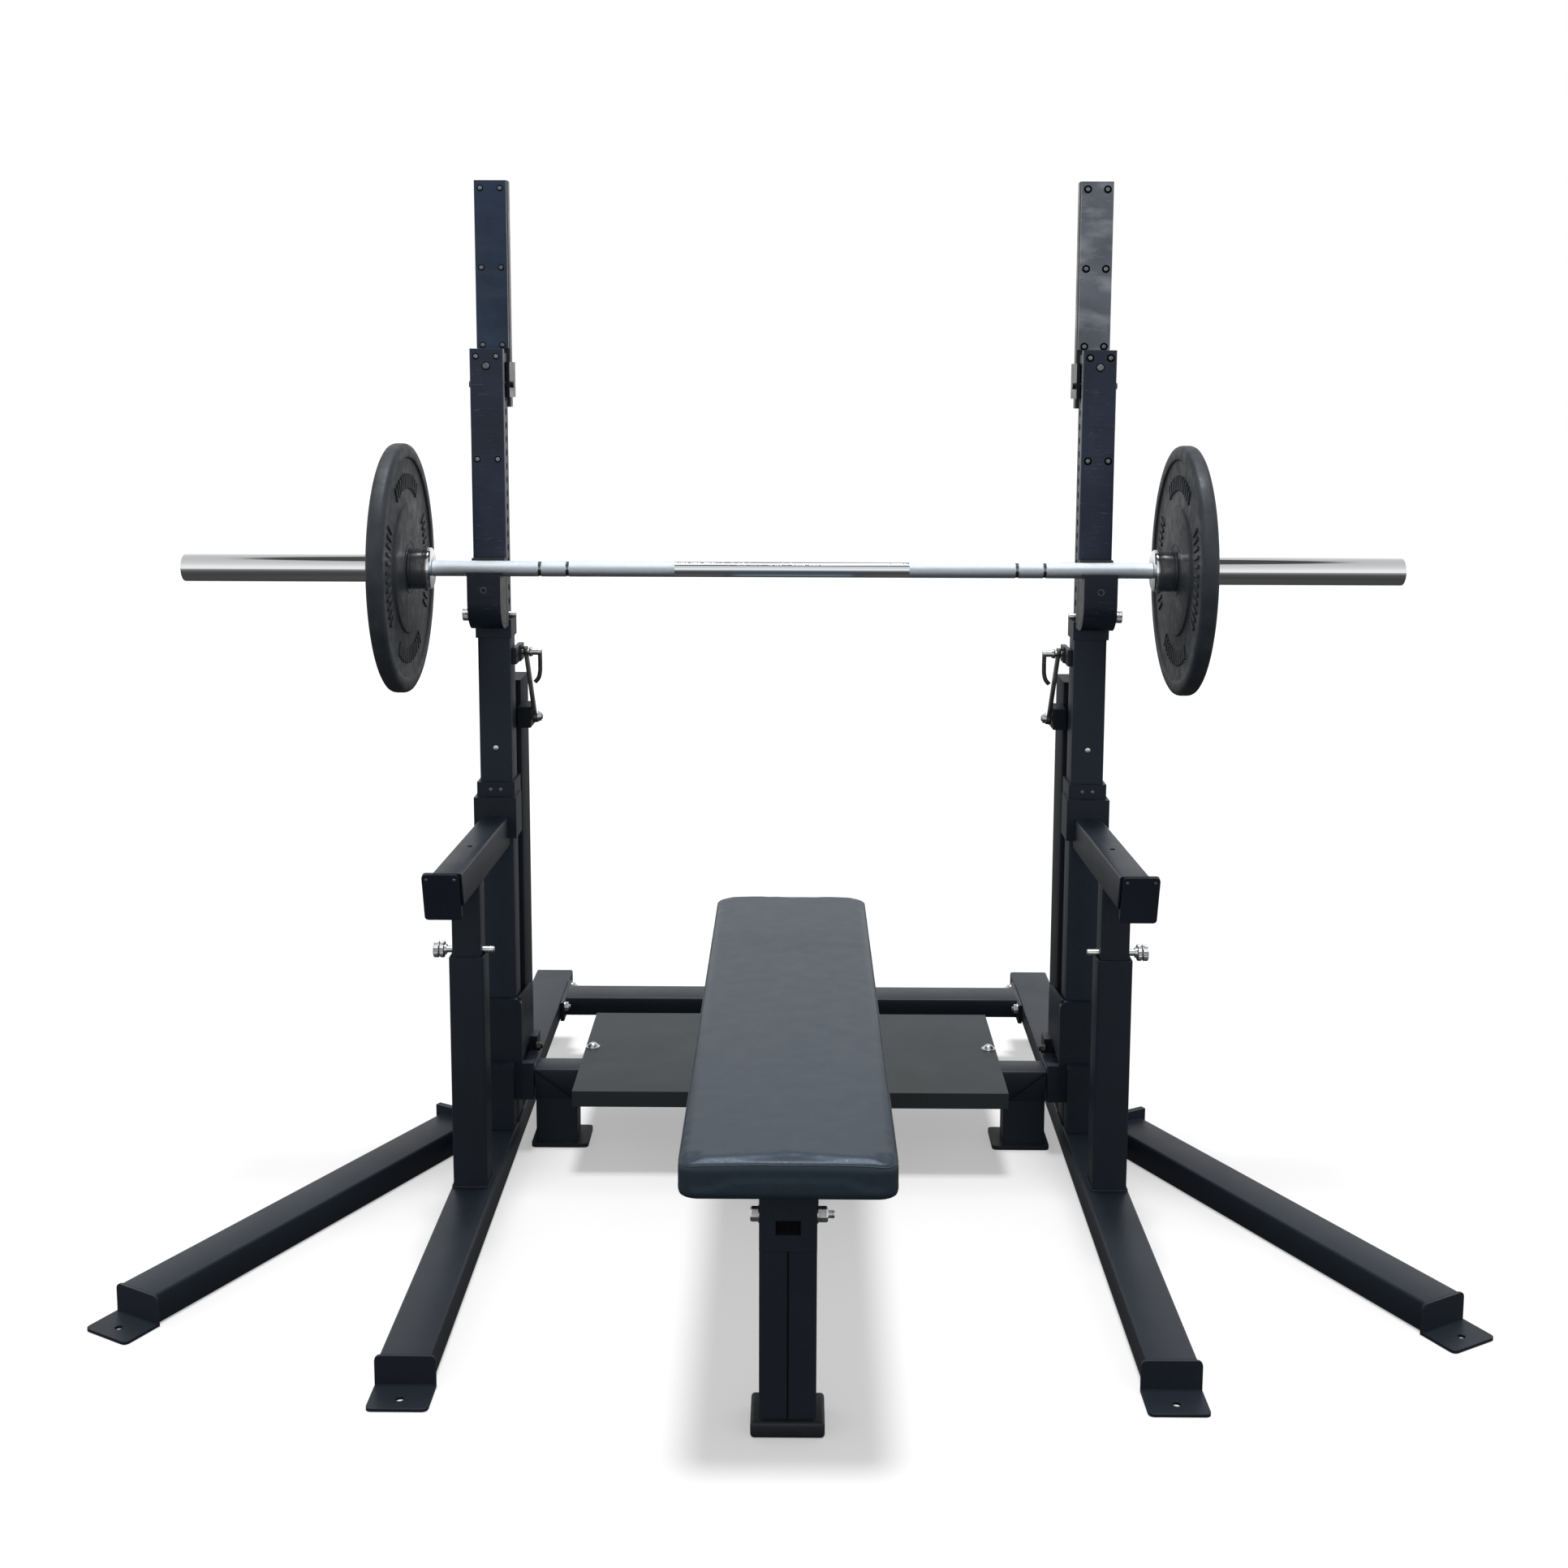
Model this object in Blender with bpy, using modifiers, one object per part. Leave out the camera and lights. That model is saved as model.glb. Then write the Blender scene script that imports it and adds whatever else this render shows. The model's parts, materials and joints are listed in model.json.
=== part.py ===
"""Olympic bench press: a rack with telescoping posts, its bench, spotter step and loaded barbell.

Metres, +Z up, +X to the right and +Y away for someone who faces the front of the bench. The origin is on the
floor at the middle of the footprint. Y values below are measured from the front face of the uprights, and
Y0 moves them all. Paired parts are described on the +X side and mirrored for the left.
"""

import math

import bmesh
import bpy
from mathutils import Matrix, Vector

# Frame of reference and general clearances
Y0 = 0.216
GAP = 0.0003
WALL = 0.003
CORNER_R = 0.004
REACH = 0.010
SIDES = {"left": -1, "right": 1}

# Base: floor rails, outriggers and their bolt-down feet
RAIL_X = (0.520, 0.596)
RAIL_Y = (-0.830, 0.230)
RAIL_H = 0.050
FOOT_THICK = 0.005
FOOT_LONG = 0.062
FOOT_SIDE = 0.007
FOOT_R = 0.008
FOOT_HOLE_R = 0.006
FOOT_HOLE_AHEAD = 0.041
OUTRIGGER_ANGLE = math.radians(29)
OUTRIGGER_MIDDLE = (0.894, -0.426)
OUTRIGGER_TIP = -0.2505
OUTRIGGER_JOINT = 0.5175
OUTRIGGER_ROOT = 0.645
STUB_INSET = 0.001
JOINT_PLATE = 0.006
JOINT_HALF = 0.048
JOINT_TOP = 0.066

# Uprights and what guides the posts in them
UPRIGHT_X = (0.522, 0.582)
UPRIGHT_Y = (0.0, 0.060)
UPRIGHT_TOP = 1.012
MID_X = 0.552
SIGHT_HOLE_Z = 0.780
COLLAR_BOTTOM = 0.988
COLLAR_TOP = 1.022
COLLAR_LAP = 0.003
POST_HALF = 0.025
POST_Y = 0.030
POST_Z = (0.800, 1.510)
POST_CLEARANCE = 0.0005

# Pin holes of the inner post and the pin that carries it
PIN_R = 0.006
PIN_HOLE_R = 0.0069
PIN_PITCH = 0.025
PIN_Z = COLLAR_TOP + GAP + PIN_R
PIN_COUNT = 19
PIN_HEAD_R = 0.0125

# Hook carrier, hook and liner
CARRIER_Y = (-0.030, -0.005)
CARRIER_Z = (1.012, 1.517)
HOOK_LIP_Y = -0.098
HOOK_LIP_Z = 1.120
HOOK_PLATE = 0.008
HOOK_BEND_R = 0.050
LINER_BACK_Z = 1.140
SEAT_R = 0.0146

# Barbell
BAR_Y = -0.060
BAR_Z = 1.123
SHAFT_R = 0.01425
SPIGOT_R = 0.0125
SLEEVE_X = 0.650
BAR_END = 1.100
SLEEVE_R = 0.025
SLEEVE_COLLAR_R = 0.0375
SLEEVE_COLLAR_LONG = 0.040
PLATE_R = 0.225
PLATE_THICK = 0.0297

# Guide above the hook
GUIDE_Y = (0.0555, 0.0855)
GUIDE_Z = (1.412, 1.822)
GUIDE_STRIP_Y = 0.045

# Rear column, lock link and detent pin
COLUMN_X = (0.520, 0.570)
COLUMN_Y = (0.103, 0.203)
COLUMN_TOP = 0.892
LOCK_Y = 0.084
DETENT_Z = 0.950
LOCK_BOLT_Z = 0.825
LINK_X = 0.4975
LINK_Z = (0.812, 0.962)
LINK_THICK = 0.008
LINK_R = 0.010
LINK_LEAN = math.radians(7.07)
HANDLE_X = 0.479
HANDLE_PATH = ((0.0, 0.950), (-0.0002, 0.925), (0.0003, 0.908), (0.0035, 0.898), (0.0105, 0.890))
LUG_END = 0.5115
BOSS_END = 0.4968

# Spotter arm and its front post
SLEEVE_Z = (0.613, 0.717)
ARM_Z = (0.595, 0.655)
ARM_SPLAY = math.radians(2)
ARM_FRONT = -0.430
ARM_PLATE_TOP = (-0.420, 0.653)
ARM_PLATE_LEAN = math.radians(15.5)
ARM_PLATE_X = (0.545, 0.607)
ARM_PLATE_H = 0.086
ARM_PLATE_THICK = 0.008
FRONT_POST_X = 0.562
FRONT_POST_Y = -0.254
FRONT_POST_TOP = 0.468
FRONT_PIN_Z = FRONT_POST_TOP + GAP + PIN_R

# Spotter's step
STEP_TOP = 0.154
STEP_RAIL_H = 0.040
STEP_RAIL_X = (0.4895, 0.5695)
STEP_RAIL_Y = (0.005, 0.592)
STEP_FRONT_Y = (0.005, 0.065)
STEP_REAR_Y = (0.410, 0.490)
STEP_FOOT_Y = (-0.002, 0.088)
STEP_FOOT_THICK = 0.008
STEP_PLATE_X = 0.404
STEP_PLATE_Y = (-0.110, 0.308)
STEP_PLATE_THICK = 0.003

# Bench
PAD_X = 0.1505
PAD_Y = (-1.024, 0.231)
PAD_Z = (0.3903, 0.437)
BOARD_Z = (0.378, 0.390)
SPINE_Z = (0.3377, 0.3777)
LEG_X = 0.040
LEG_Y = (-0.947, -0.887)
LEG_FOOT_X = 0.052
LEG_FOOT_Y = (-0.957, -0.877)
LEG_FOOT_H = 0.0245
LEG_REST = 0.010
HEAD_PLATE = 0.004
HEAD_BOTTOM = 0.273
BENCH_BOLT = (-0.917, 0.311)
REAR_LEG_Y = (-0.230, -0.150)


# ---------------------------------------------------------------- scene

def clear_scene():
    for old in list(bpy.data.objects):
        bpy.data.objects.remove(old, do_unlink=True)


def collection(name, hidden):
    made = bpy.data.collections.new(name)
    made.hide_render = hidden
    bpy.context.scene.collection.children.link(made)
    return made


def material(name, colour, roughness, metallic):
    made = bpy.data.materials.new(name)
    made.use_nodes = True
    shader = made.node_tree.nodes["Principled BSDF"]
    shader.inputs["Base Color"].default_value = (*colour, 1.0)
    shader.inputs["Roughness"].default_value = roughness
    shader.inputs["Metallic"].default_value = metallic
    return made


clear_scene()
PARTS = collection("olympic_bench_press", hidden=False)
CUTTERS = collection("cutters", hidden=True)
FRAME_PAINT = material("frame_paint", (0.018, 0.021, 0.026), 0.35, 0.0)
BLACK_PLASTIC = material("black_plastic", (0.012, 0.012, 0.013), 0.45, 0.0)
BRIGHT_STEEL = material("bright_steel", (0.62, 0.62, 0.62), 0.25, 1.0)
CAST_PLATE = material("cast_plate", (0.050, 0.053, 0.056), 0.55, 0.3)
PAD_VINYL = material("pad_vinyl", (0.013, 0.026, 0.042), 0.45, 0.0)
BOARD_PAINT = material("board_paint", (0.020, 0.020, 0.020), 0.60, 0.0)
FOOT_RUBBER = material("foot_rubber", (0.015, 0.015, 0.015), 0.80, 0.0)


# ---------------------------------------------------------------- shapes

def shape(mesh):
    """A helper object that a part starts from, or is joined to or cut by."""
    made = bpy.data.objects.new("shape", mesh)
    CUTTERS.objects.link(made)
    made.hide_render = True
    made.display_type = "WIRE"
    return made


def box(x, y, z, turned=None):
    """A block between the given spans, then moved by the matrix in turned."""
    mesh = bpy.data.meshes.new("box")
    model = bmesh.new()
    bmesh.ops.create_cube(model, size=1.0)
    size = Matrix.Diagonal((x[1] - x[0], y[1] - y[0], z[1] - z[0], 1.0))
    middle = Vector((sum(x) / 2, sum(y) / 2, sum(z) / 2))
    model.transform((turned or Matrix()) @ Matrix.Translation(middle) @ size)
    model.to_mesh(mesh)
    model.free()
    return shape(mesh)


def rod(start, end, radius, sides=16, turned=None):
    """A cylinder from start to end, with flat sides straight above and below its axis."""
    start = Vector(start)
    along = Vector(end) - start
    mesh = bpy.data.meshes.new("rod")
    model = bmesh.new()
    bmesh.ops.create_cone(
        model, cap_ends=True, segments=sides, radius1=radius, radius2=radius, depth=along.length
    )
    facing = along.to_track_quat("Z", "Y").to_matrix().to_4x4()
    model.transform((turned or Matrix()) @ Matrix.Translation(start + along / 2) @ facing)
    model.to_mesh(mesh)
    model.free()
    return shape(mesh)


def mesh_of_curve(curve, placed):
    """Turns a curve into a mesh object with its caps welded on."""
    guide = bpy.data.objects.new("guide", curve)
    CUTTERS.objects.link(guide)
    guide.matrix_world = placed
    bpy.context.view_layer.update()
    graph = bpy.context.evaluated_depsgraph_get()
    mesh = bpy.data.meshes.new_from_object(guide.evaluated_get(graph))
    model = bmesh.new()
    model.from_mesh(mesh)
    bmesh.ops.remove_doubles(model, verts=model.verts, dist=1e-5)
    bmesh.ops.recalc_face_normals(model, faces=model.faces)
    model.transform(guide.matrix_world)
    model.to_mesh(mesh)
    model.free()
    bpy.data.objects.remove(guide)
    return shape(mesh)


def spline(curve, points, closed):
    line = curve.splines.new("POLY")
    line.points.add(len(points) - 1)
    for point, place in zip(line.points, points):
        point.co = (*place, *[0.0] * (3 - len(place)), 1.0)
    line.use_cyclic_u = closed


def side_outline(points, x):
    """A flat outline in Y and Z, as thick as the span x."""
    across = Matrix(((0, 0, 1, sum(x) / 2), (1, 0, 0, 0), (0, 1, 0, 0), (0, 0, 0, 1)))
    return outline(points, x[1] - x[0], across)


def front_outline(points, y, turned=None):
    """A flat outline in X and Z, as thick as the span y."""
    across = Matrix(((1, 0, 0, 0), (0, 0, -1, sum(y) / 2), (0, 1, 0, 0), (0, 0, 0, 1)))
    return outline(points, y[1] - y[0], (turned or Matrix()) @ across)


def plan_outline(points, z, turned=None):
    """A flat outline in X and Y, as thick as the span z."""
    return outline(points, z[1] - z[0], (turned or Matrix()) @ Matrix.Translation((0, 0, sum(z) / 2)))


def outline(points, thick, placed):
    curve = bpy.data.curves.new("outline", "CURVE")
    curve.dimensions = "2D"
    curve.fill_mode = "BOTH"
    curve.extrude = thick / 2
    spline(curve, points, closed=True)
    return mesh_of_curve(curve, placed)


def bent_rod(points, radius):
    curve = bpy.data.curves.new("bent_rod", "CURVE")
    curve.dimensions = "3D"
    curve.bevel_depth = radius
    curve.bevel_resolution = 1
    curve.use_fill_caps = True
    spline(curve, points, closed=False)
    return mesh_of_curve(curve, Matrix())


def arc(centre, radius, start, end, steps=6):
    """Points on an arc, with the angles in degrees."""
    turns = [math.radians(start + (end - start) * step / steps) for step in range(steps + 1)]
    return [(centre[0] + radius * math.cos(turn), centre[1] + radius * math.sin(turn)) for turn in turns]


def rounded_top(x, z, radius, steps=3):
    """An outline with square bottom corners and round top ones."""
    right = arc((x[1] - radius, z[1] - radius), radius, 0, 90, steps)
    left = arc((x[0] + radius, z[1] - radius), radius, 90, 180, steps)
    return [(x[0], z[0]), (x[1], z[0]), *right, *left]


def rounded(x, z, radius, steps=3):
    """An outline with four round corners."""
    low = arc((x[0] + radius, z[0] + radius), radius, 180, 270, steps)
    low += arc((x[1] - radius, z[0] + radius), radius, 270, 360, steps)
    high = arc((x[1] - radius, z[1] - radius), radius, 0, 90, steps)
    return low + high + arc((x[0] + radius, z[1] - radius), radius, 90, 180, steps)


def add(piece):
    return ("UNION", piece)


def cut(piece):
    return ("DIFFERENCE", piece)


def finish_shape(piece, mirrored):
    if mirrored:
        piece.data.transform(Matrix.Scale(-1, 4, (1, 0, 0)))
        piece.data.flip_normals()
    piece.data.transform(Matrix.Translation((0, Y0, 0)))


def part(name, start, paint, *steps, side="right", origin=(0, 0, 0)):
    """Makes a named part from a start shape, joined to or cut by the others in turn."""
    start.name = name
    start.data.name = name
    CUTTERS.objects.unlink(start)
    PARTS.objects.link(start)
    start.hide_render = False
    start.display_type = "TEXTURED"
    start.data.materials.append(paint)
    finish_shape(start, side == "left")
    for count, (kind, piece) in enumerate(steps, start=1):
        piece.name = f"{name}_{kind.lower()}_{count}"
        finish_shape(piece, side == "left")
        joined = start.modifiers.new(piece.name, "BOOLEAN")
        joined.operation = kind
        joined.solver = "EXACT"
        joined.object = piece
    place = Vector((origin[0] * SIDES[side], origin[1] + Y0, origin[2]))
    start.data.transform(Matrix.Translation(-place))
    start.location = place
    return start


def bar(x, y, z, along, turned=None):
    """A bar with the rolled corners of a steel tube, running along one axis."""
    turned = turned or Matrix()
    if along == "x":
        across = Matrix(((0, 0, 1, sum(x) / 2), (1, 0, 0, 0), (0, 1, 0, 0), (0, 0, 0, 1)))
        return outline(rounded(y, z, CORNER_R), x[1] - x[0], turned @ across)
    if along == "y":
        return front_outline(rounded(x, z, CORNER_R), y, turned)
    return outline(rounded(x, y, CORNER_R), z[1] - z[0], turned @ Matrix.Translation((0, 0, sum(z) / 2)))


def tube(x, y, z, along):
    """A rectangular tube as a start shape and the cut that opens it from end to end."""
    spans = []
    for axis, span in zip("xyz", (x, y, z)):
        spare = REACH if axis == along else -WALL
        spans.append((span[0] - spare, span[1] + spare))
    return bar(x, y, z, along), cut(box(*spans))


def turned_part(name, profile, paint, place, steps, side="right"):
    """A part turned about its own X axis, from a profile of (radius, distance outwards)."""
    mesh = bpy.data.meshes.new(name)
    points = [(radius, 0.0, height) for radius, height in profile]
    mesh.from_pydata(points, [(count, count + 1) for count in range(len(points) - 1)], [])
    made = bpy.data.objects.new(name, mesh)
    PARTS.objects.link(made)
    mesh.materials.append(paint)
    lathe = made.modifiers.new("lathe", "SCREW")
    lathe.steps = steps
    lathe.render_steps = steps
    lathe.use_merge_vertices = True
    lathe.merge_threshold = 1e-5
    lathe.use_smooth_shade = True
    made.rotation_euler = (0, SIDES[side] * math.pi / 2, 0)
    made.location = (place[0] * SIDES[side], place[1] + Y0, place[2])
    return made


# ---------------------------------------------------------------- base

def foot_plate(x, tip, turned=None):
    """An L-shaped bolt-down foot at a tube's tip: a floor flange and a tab against the tube's end."""
    wide = (x[0] - FOOT_SIDE, x[1] + FOOT_SIDE)
    front = tip - FOOT_THICK - GAP
    ahead = rounded_top(wide, (-front - FOOT_THICK, FOOT_LONG - front), FOOT_R)
    flange = plan_outline([(across, -out) for across, out in ahead], (0, FOOT_THICK), turned)
    tab = front_outline(rounded_top(wide, (0, RAIL_H), FOOT_R), (front, front + FOOT_THICK), turned)
    middle = sum(x) / 2
    hole_y = tip - FOOT_HOLE_AHEAD
    hole = rod((middle, hole_y, -REACH), (middle, hole_y, REACH), FOOT_HOLE_R, turned=turned)
    return flange, add(tab), cut(hole)


def outrigger_frame():
    return Matrix.Translation((*OUTRIGGER_MIDDLE, 0)) @ Matrix.Rotation(OUTRIGGER_ANGLE, 4, "Z")


def joint_plate(y):
    return box((-JOINT_HALF, JOINT_HALF), y, (0, JOINT_TOP), outrigger_frame())


def base_rail(side):
    half = (RAIL_X[1] - RAIL_X[0]) / 2
    rail, bore = tube(RAIL_X, RAIL_Y, (0, RAIL_H), "y")
    stub_z = (STUB_INSET, RAIL_H - STUB_INSET)
    stub = bar((-half, half), (OUTRIGGER_JOINT, OUTRIGGER_ROOT), stub_z, "y", outrigger_frame())
    plate = joint_plate((OUTRIGGER_JOINT, OUTRIGGER_JOINT + JOINT_PLATE))
    part(f"{side}_base_rail", rail, FRAME_PAINT, add(stub), add(plate), bore, side=side)
    part(f"{side}_rail_foot", *with_paint(foot_plate(RAIL_X, RAIL_Y[0]), FRAME_PAINT), side=side)


def with_paint(pieces, paint):
    return pieces[0], paint, *pieces[1:]


def outrigger(side):
    half = (RAIL_X[1] - RAIL_X[0]) / 2
    root = OUTRIGGER_JOINT - GAP
    turned = outrigger_frame()
    body = bar((-half, half), (OUTRIGGER_TIP, root), (0, RAIL_H), "y", turned)
    bore_y = (OUTRIGGER_TIP - REACH, root - JOINT_PLATE)
    bore = box((WALL - half, half - WALL), bore_y, (WALL, RAIL_H - WALL), turned)
    plate = joint_plate((root - JOINT_PLATE, root))
    part(f"{side}_outrigger", body, FRAME_PAINT, add(plate), cut(bore), side=side)
    foot = foot_plate((-half, half), OUTRIGGER_TIP, turned)
    part(f"{side}_outrigger_foot", *with_paint(foot, FRAME_PAINT), side=side)


# ---------------------------------------------------------------- uprights

def outer_upright(side):
    body, bore = tube(UPRIGHT_X, UPRIGHT_Y, (RAIL_H + GAP, UPRIGHT_TOP), "z")
    sight = rod((MID_X, -REACH, SIGHT_HOLE_Z), (MID_X, 0.070, SIGHT_HOLE_Z), PIN_R)
    part(f"{side}_outer_upright", body, FRAME_PAINT, bore, cut(sight), side=side)


def detent_lug(side):
    """The lug beside the upright that the detent pin enters."""
    inner = UPRIGHT_X[0] - GAP
    lug_z = (DETENT_Z - 0.015, DETENT_Z + 0.016)
    lug = box((inner - 0.008, inner), (0.020, 0.100), lug_z)
    boss = box((LUG_END, inner), (0.0603, 0.100), lug_z)
    hole = rod((0.500, LOCK_Y, DETENT_Z), (0.5205, LOCK_Y, DETENT_Z), 0.0056)
    part(f"{side}_detent_lug", lug, FRAME_PAINT, add(boss), cut(hole), side=side)


def upright_collar(side):
    outer_x = (UPRIGHT_X[0] - COLLAR_LAP, UPRIGHT_X[1] + COLLAR_LAP)
    outer_y = (UPRIGHT_Y[0] - COLLAR_LAP, UPRIGHT_Y[1] + COLLAR_LAP)
    body = box(outer_x, outer_y, (COLLAR_BOTTOM, COLLAR_TOP))
    socket_x = (UPRIGHT_X[0] - GAP, UPRIGHT_X[1] + GAP)
    socket_y = (UPRIGHT_Y[0] - GAP, UPRIGHT_Y[1] + GAP)
    socket = box(socket_x, socket_y, (COLLAR_BOTTOM - REACH, UPRIGHT_TOP + GAP))
    half = POST_HALF + POST_CLEARANCE
    window_y = (POST_Y - half, POST_Y + half)
    window = box((MID_X - half, MID_X + half), window_y, (COLLAR_BOTTOM, COLLAR_TOP + REACH))
    part(f"{side}_upright_collar", body, BLACK_PLASTIC, cut(socket), cut(window), side=side)


def upright_bracket(side):
    plate = front_outline(rounded_top((0.510, 0.594), (0.172, 0.298), 0.012), (-0.012, -GAP))
    corner = arc((0.130, 0.262), 0.020, 0, 90, 3)
    cheek_profile = [(-0.006, 0.176), (0.150, 0.176), *corner, (-0.006, 0.300)]
    inner_cheek = side_outline(cheek_profile, (0.512, 0.518))
    outer_cheek = side_outline(cheek_profile, (0.586, 0.592))
    base = box((0.523, 0.583), (-0.039, -GAP), (RAIL_H + GAP, 0.178))
    lap = box((0.4895, 0.530), (-0.012, -GAP), (0.100, 0.172))
    tie = box((0.4895, UPRIGHT_X[0] - GAP), (-0.012, STEP_RAIL_Y[0] - GAP), (0.100, 0.172))
    flange = box((0.498, 0.516), (0.104, 0.142), (STEP_TOP + GAP, 0.182))
    part(
        f"{side}_upright_bracket", plate, FRAME_PAINT,
        add(base), add(lap), add(tie), add(inner_cheek), add(outer_cheek), add(flange), side=side,
    )


def rear_column(side):
    body = bar(COLUMN_X, COLUMN_Y, (STEP_TOP + GAP, COLUMN_TOP), "z")
    bore_x = (COLUMN_X[0] + WALL, COLUMN_X[1] - WALL)
    bore_y = (COLUMN_Y[0] + WALL, COLUMN_Y[1] - WALL)
    bore = box(bore_x, bore_y, (STEP_TOP - REACH, COLUMN_TOP - WALL))
    boss = box((BOSS_END, COLUMN_X[0] + 0.001), (0.072, 0.140), (0.805, 0.845))
    hole = rod((0.480, LOCK_Y, LOCK_BOLT_Z), (0.515, LOCK_Y, LOCK_BOLT_Z), 0.0066)
    part(f"{side}_rear_column", body, FRAME_PAINT, add(boss), cut(bore), cut(hole), side=side)


def lock_link(side):
    half = (LINK_Z[1] - LINK_Z[0]) / 2
    ends = rounded((-LINK_R, LINK_R), (-half, half), LINK_R - GAP)
    leaning = Matrix.Translation((LINK_X, LOCK_Y, sum(LINK_Z) / 2)) @ Matrix.Rotation(LINK_LEAN, 4, "Y")
    flat = Matrix(((0, 0, 1, 0), (1, 0, 0, 0), (0, 1, 0, 0), (0, 0, 0, 1)))
    link = outline(ends, LINK_THICK, leaning @ flat)
    pin_hole = rod((0.490, LOCK_Y, DETENT_Z), (0.520, LOCK_Y, DETENT_Z), 0.0056)
    shank = rod((0.480, LOCK_Y, LOCK_BOLT_Z), (0.5135, LOCK_Y, LOCK_BOLT_Z), 0.006)
    head = rod((0.475, LOCK_Y, LOCK_BOLT_Z), (0.4870, LOCK_Y, LOCK_BOLT_Z), 0.011, sides=12)
    part(f"{side}_lock_link", link, BRIGHT_STEEL, cut(pin_hole), add(shank), add(head), side=side)


def detent_pin(side):
    origin = (HANDLE_X, LOCK_Y, DETENT_Z)
    pin = rod((HANDLE_X - 0.003, LOCK_Y, DETENT_Z), (0.519, LOCK_Y, DETENT_Z), 0.005)
    nut = rod((HANDLE_X + 0.006, LOCK_Y, DETENT_Z), (0.4995, LOCK_Y, DETENT_Z), 0.009, sides=6)
    path = [(HANDLE_X + out, z) for out, z in HANDLE_PATH]
    handle = bent_rod([(x, LOCK_Y, z) for x, z in path], 0.0042)
    part(f"{side}_detent_pin", pin, BRIGHT_STEEL, add(nut), add(handle), side=side, origin=origin)


# ---------------------------------------------------------------- telescoping posts

def inner_post(side):
    x = (MID_X - POST_HALF, MID_X + POST_HALF)
    body, bore = tube(x, (POST_Y - POST_HALF, POST_Y + POST_HALF), POST_Z, "z")
    holes = []
    for count in range(PIN_COUNT):
        height = PIN_Z + count * PIN_PITCH
        holes.append(cut(rod((0.515, POST_Y, height), (0.590, POST_Y, height), PIN_HOLE_R, sides=8)))
    part(f"{side}_inner_post", body, FRAME_PAINT, bore, *holes, side=side)


def hook_carrier(side):
    body = bar(UPRIGHT_X, CARRIER_Y, CARRIER_Z, "z")
    bore_x = (UPRIGHT_X[0] + WALL, UPRIGHT_X[1] - WALL)
    bore_y = (CARRIER_Y[0] + WALL, CARRIER_Y[1] - WALL)
    bore = box(bore_x, bore_y, (CARRIER_Z[0] - REACH, CARRIER_Z[1] - WALL))
    spacer = box((0.530, 0.574), (CARRIER_Y[1] - 0.001, 0.0047), (1.300, 1.505))
    part(f"{side}_hook_carrier", body, FRAME_PAINT, cut(bore), add(spacer), side=side)


def j_hook(side):
    back = CARRIER_Y[0] - GAP
    centre = (HOOK_LIP_Y + HOOK_BEND_R, CARRIER_Z[0] + HOOK_BEND_R)
    outer = arc(centre, HOOK_BEND_R, 180, 270)
    inner = arc(centre, HOOK_BEND_R - HOOK_PLATE, 270, 180)
    bottom = [(back, CARRIER_Z[0]), (back, CARRIER_Z[0] + HOOK_PLATE)]
    lip = [(HOOK_LIP_Y + HOOK_PLATE, HOOK_LIP_Z), (HOOK_LIP_Y, HOOK_LIP_Z)]
    part(f"{side}_j_hook", side_outline([*outer, *bottom, *inner, *lip], UPRIGHT_X), FRAME_PAINT, side=side)


def hook_liner(side):
    back = CARRIER_Y[0] - GAP
    centre = (HOOK_LIP_Y + HOOK_BEND_R, CARRIER_Z[0] + HOOK_BEND_R)
    outer = arc(centre, HOOK_BEND_R - HOOK_PLATE - GAP, 180, 270)
    rim_z = HOOK_LIP_Z - 0.0017
    front_turn = 180 + math.degrees(math.asin((BAR_Z - rim_z) / SEAT_R))
    seat = arc((BAR_Y, BAR_Z), SEAT_R, 360, front_turn, 12)
    rim = [(BAR_Y + SEAT_R, LINER_BACK_Z), *seat, (outer[0][0], rim_z)]
    body = side_outline([*outer, (back, outer[-1][1]), (back, LINER_BACK_Z), *rim], UPRIGHT_X)
    part(f"{side}_hook_liner", body, BLACK_PLASTIC, side=side)


def post_extension(side):
    body = bar(UPRIGHT_X, GUIDE_Y, GUIDE_Z, "z")
    bore_x = (UPRIGHT_X[0] + WALL, UPRIGHT_X[1] - WALL)
    bore_y = (GUIDE_Y[0] + WALL, GUIDE_Y[1] - WALL)
    bore = box(bore_x, bore_y, (GUIDE_Z[0] - REACH, GUIDE_Z[1] - WALL))
    strip_x = (UPRIGHT_X[0] + 0.001, UPRIGHT_X[1] - 0.001)
    strip = box(strip_x, (GUIDE_STRIP_Y, GUIDE_Y[0] + 0.001), (1.519, GUIDE_Z[1] - 0.001))
    cheeks = [add(box(x, (0.012, 0.080), (1.430, 1.494))) for x in ((0.5165, 0.523), (0.581, 0.5875))]
    bolt_z = PIN_Z + 17 * PIN_PITCH
    bolt = rod((0.511, POST_Y, bolt_z), (0.593, POST_Y, bolt_z), PIN_R)
    part(
        f"{side}_post_extension", body, FRAME_PAINT,
        add(strip), *cheeks, cut(bore), add(bolt), side=side,
    )


def hook_pin(side):
    pin = rod((0.514, POST_Y, PIN_Z), (0.596, POST_Y, PIN_Z), PIN_R)
    head = rod((0.5946, POST_Y, PIN_Z), (0.6130, POST_Y, PIN_Z), PIN_HEAD_R)
    part(f"{side}_hook_pin", pin, BRIGHT_STEEL, add(head), side=side, origin=(0.608, POST_Y, PIN_Z))


# ---------------------------------------------------------------- spotter arms

def arm_line():
    """The frame of the arm tube, whose local -Y runs forwards along the splayed arm."""
    return Matrix.Translation((MID_X, -0.020, 0)) @ Matrix.Rotation(ARM_SPLAY, 4, "Z")


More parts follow.
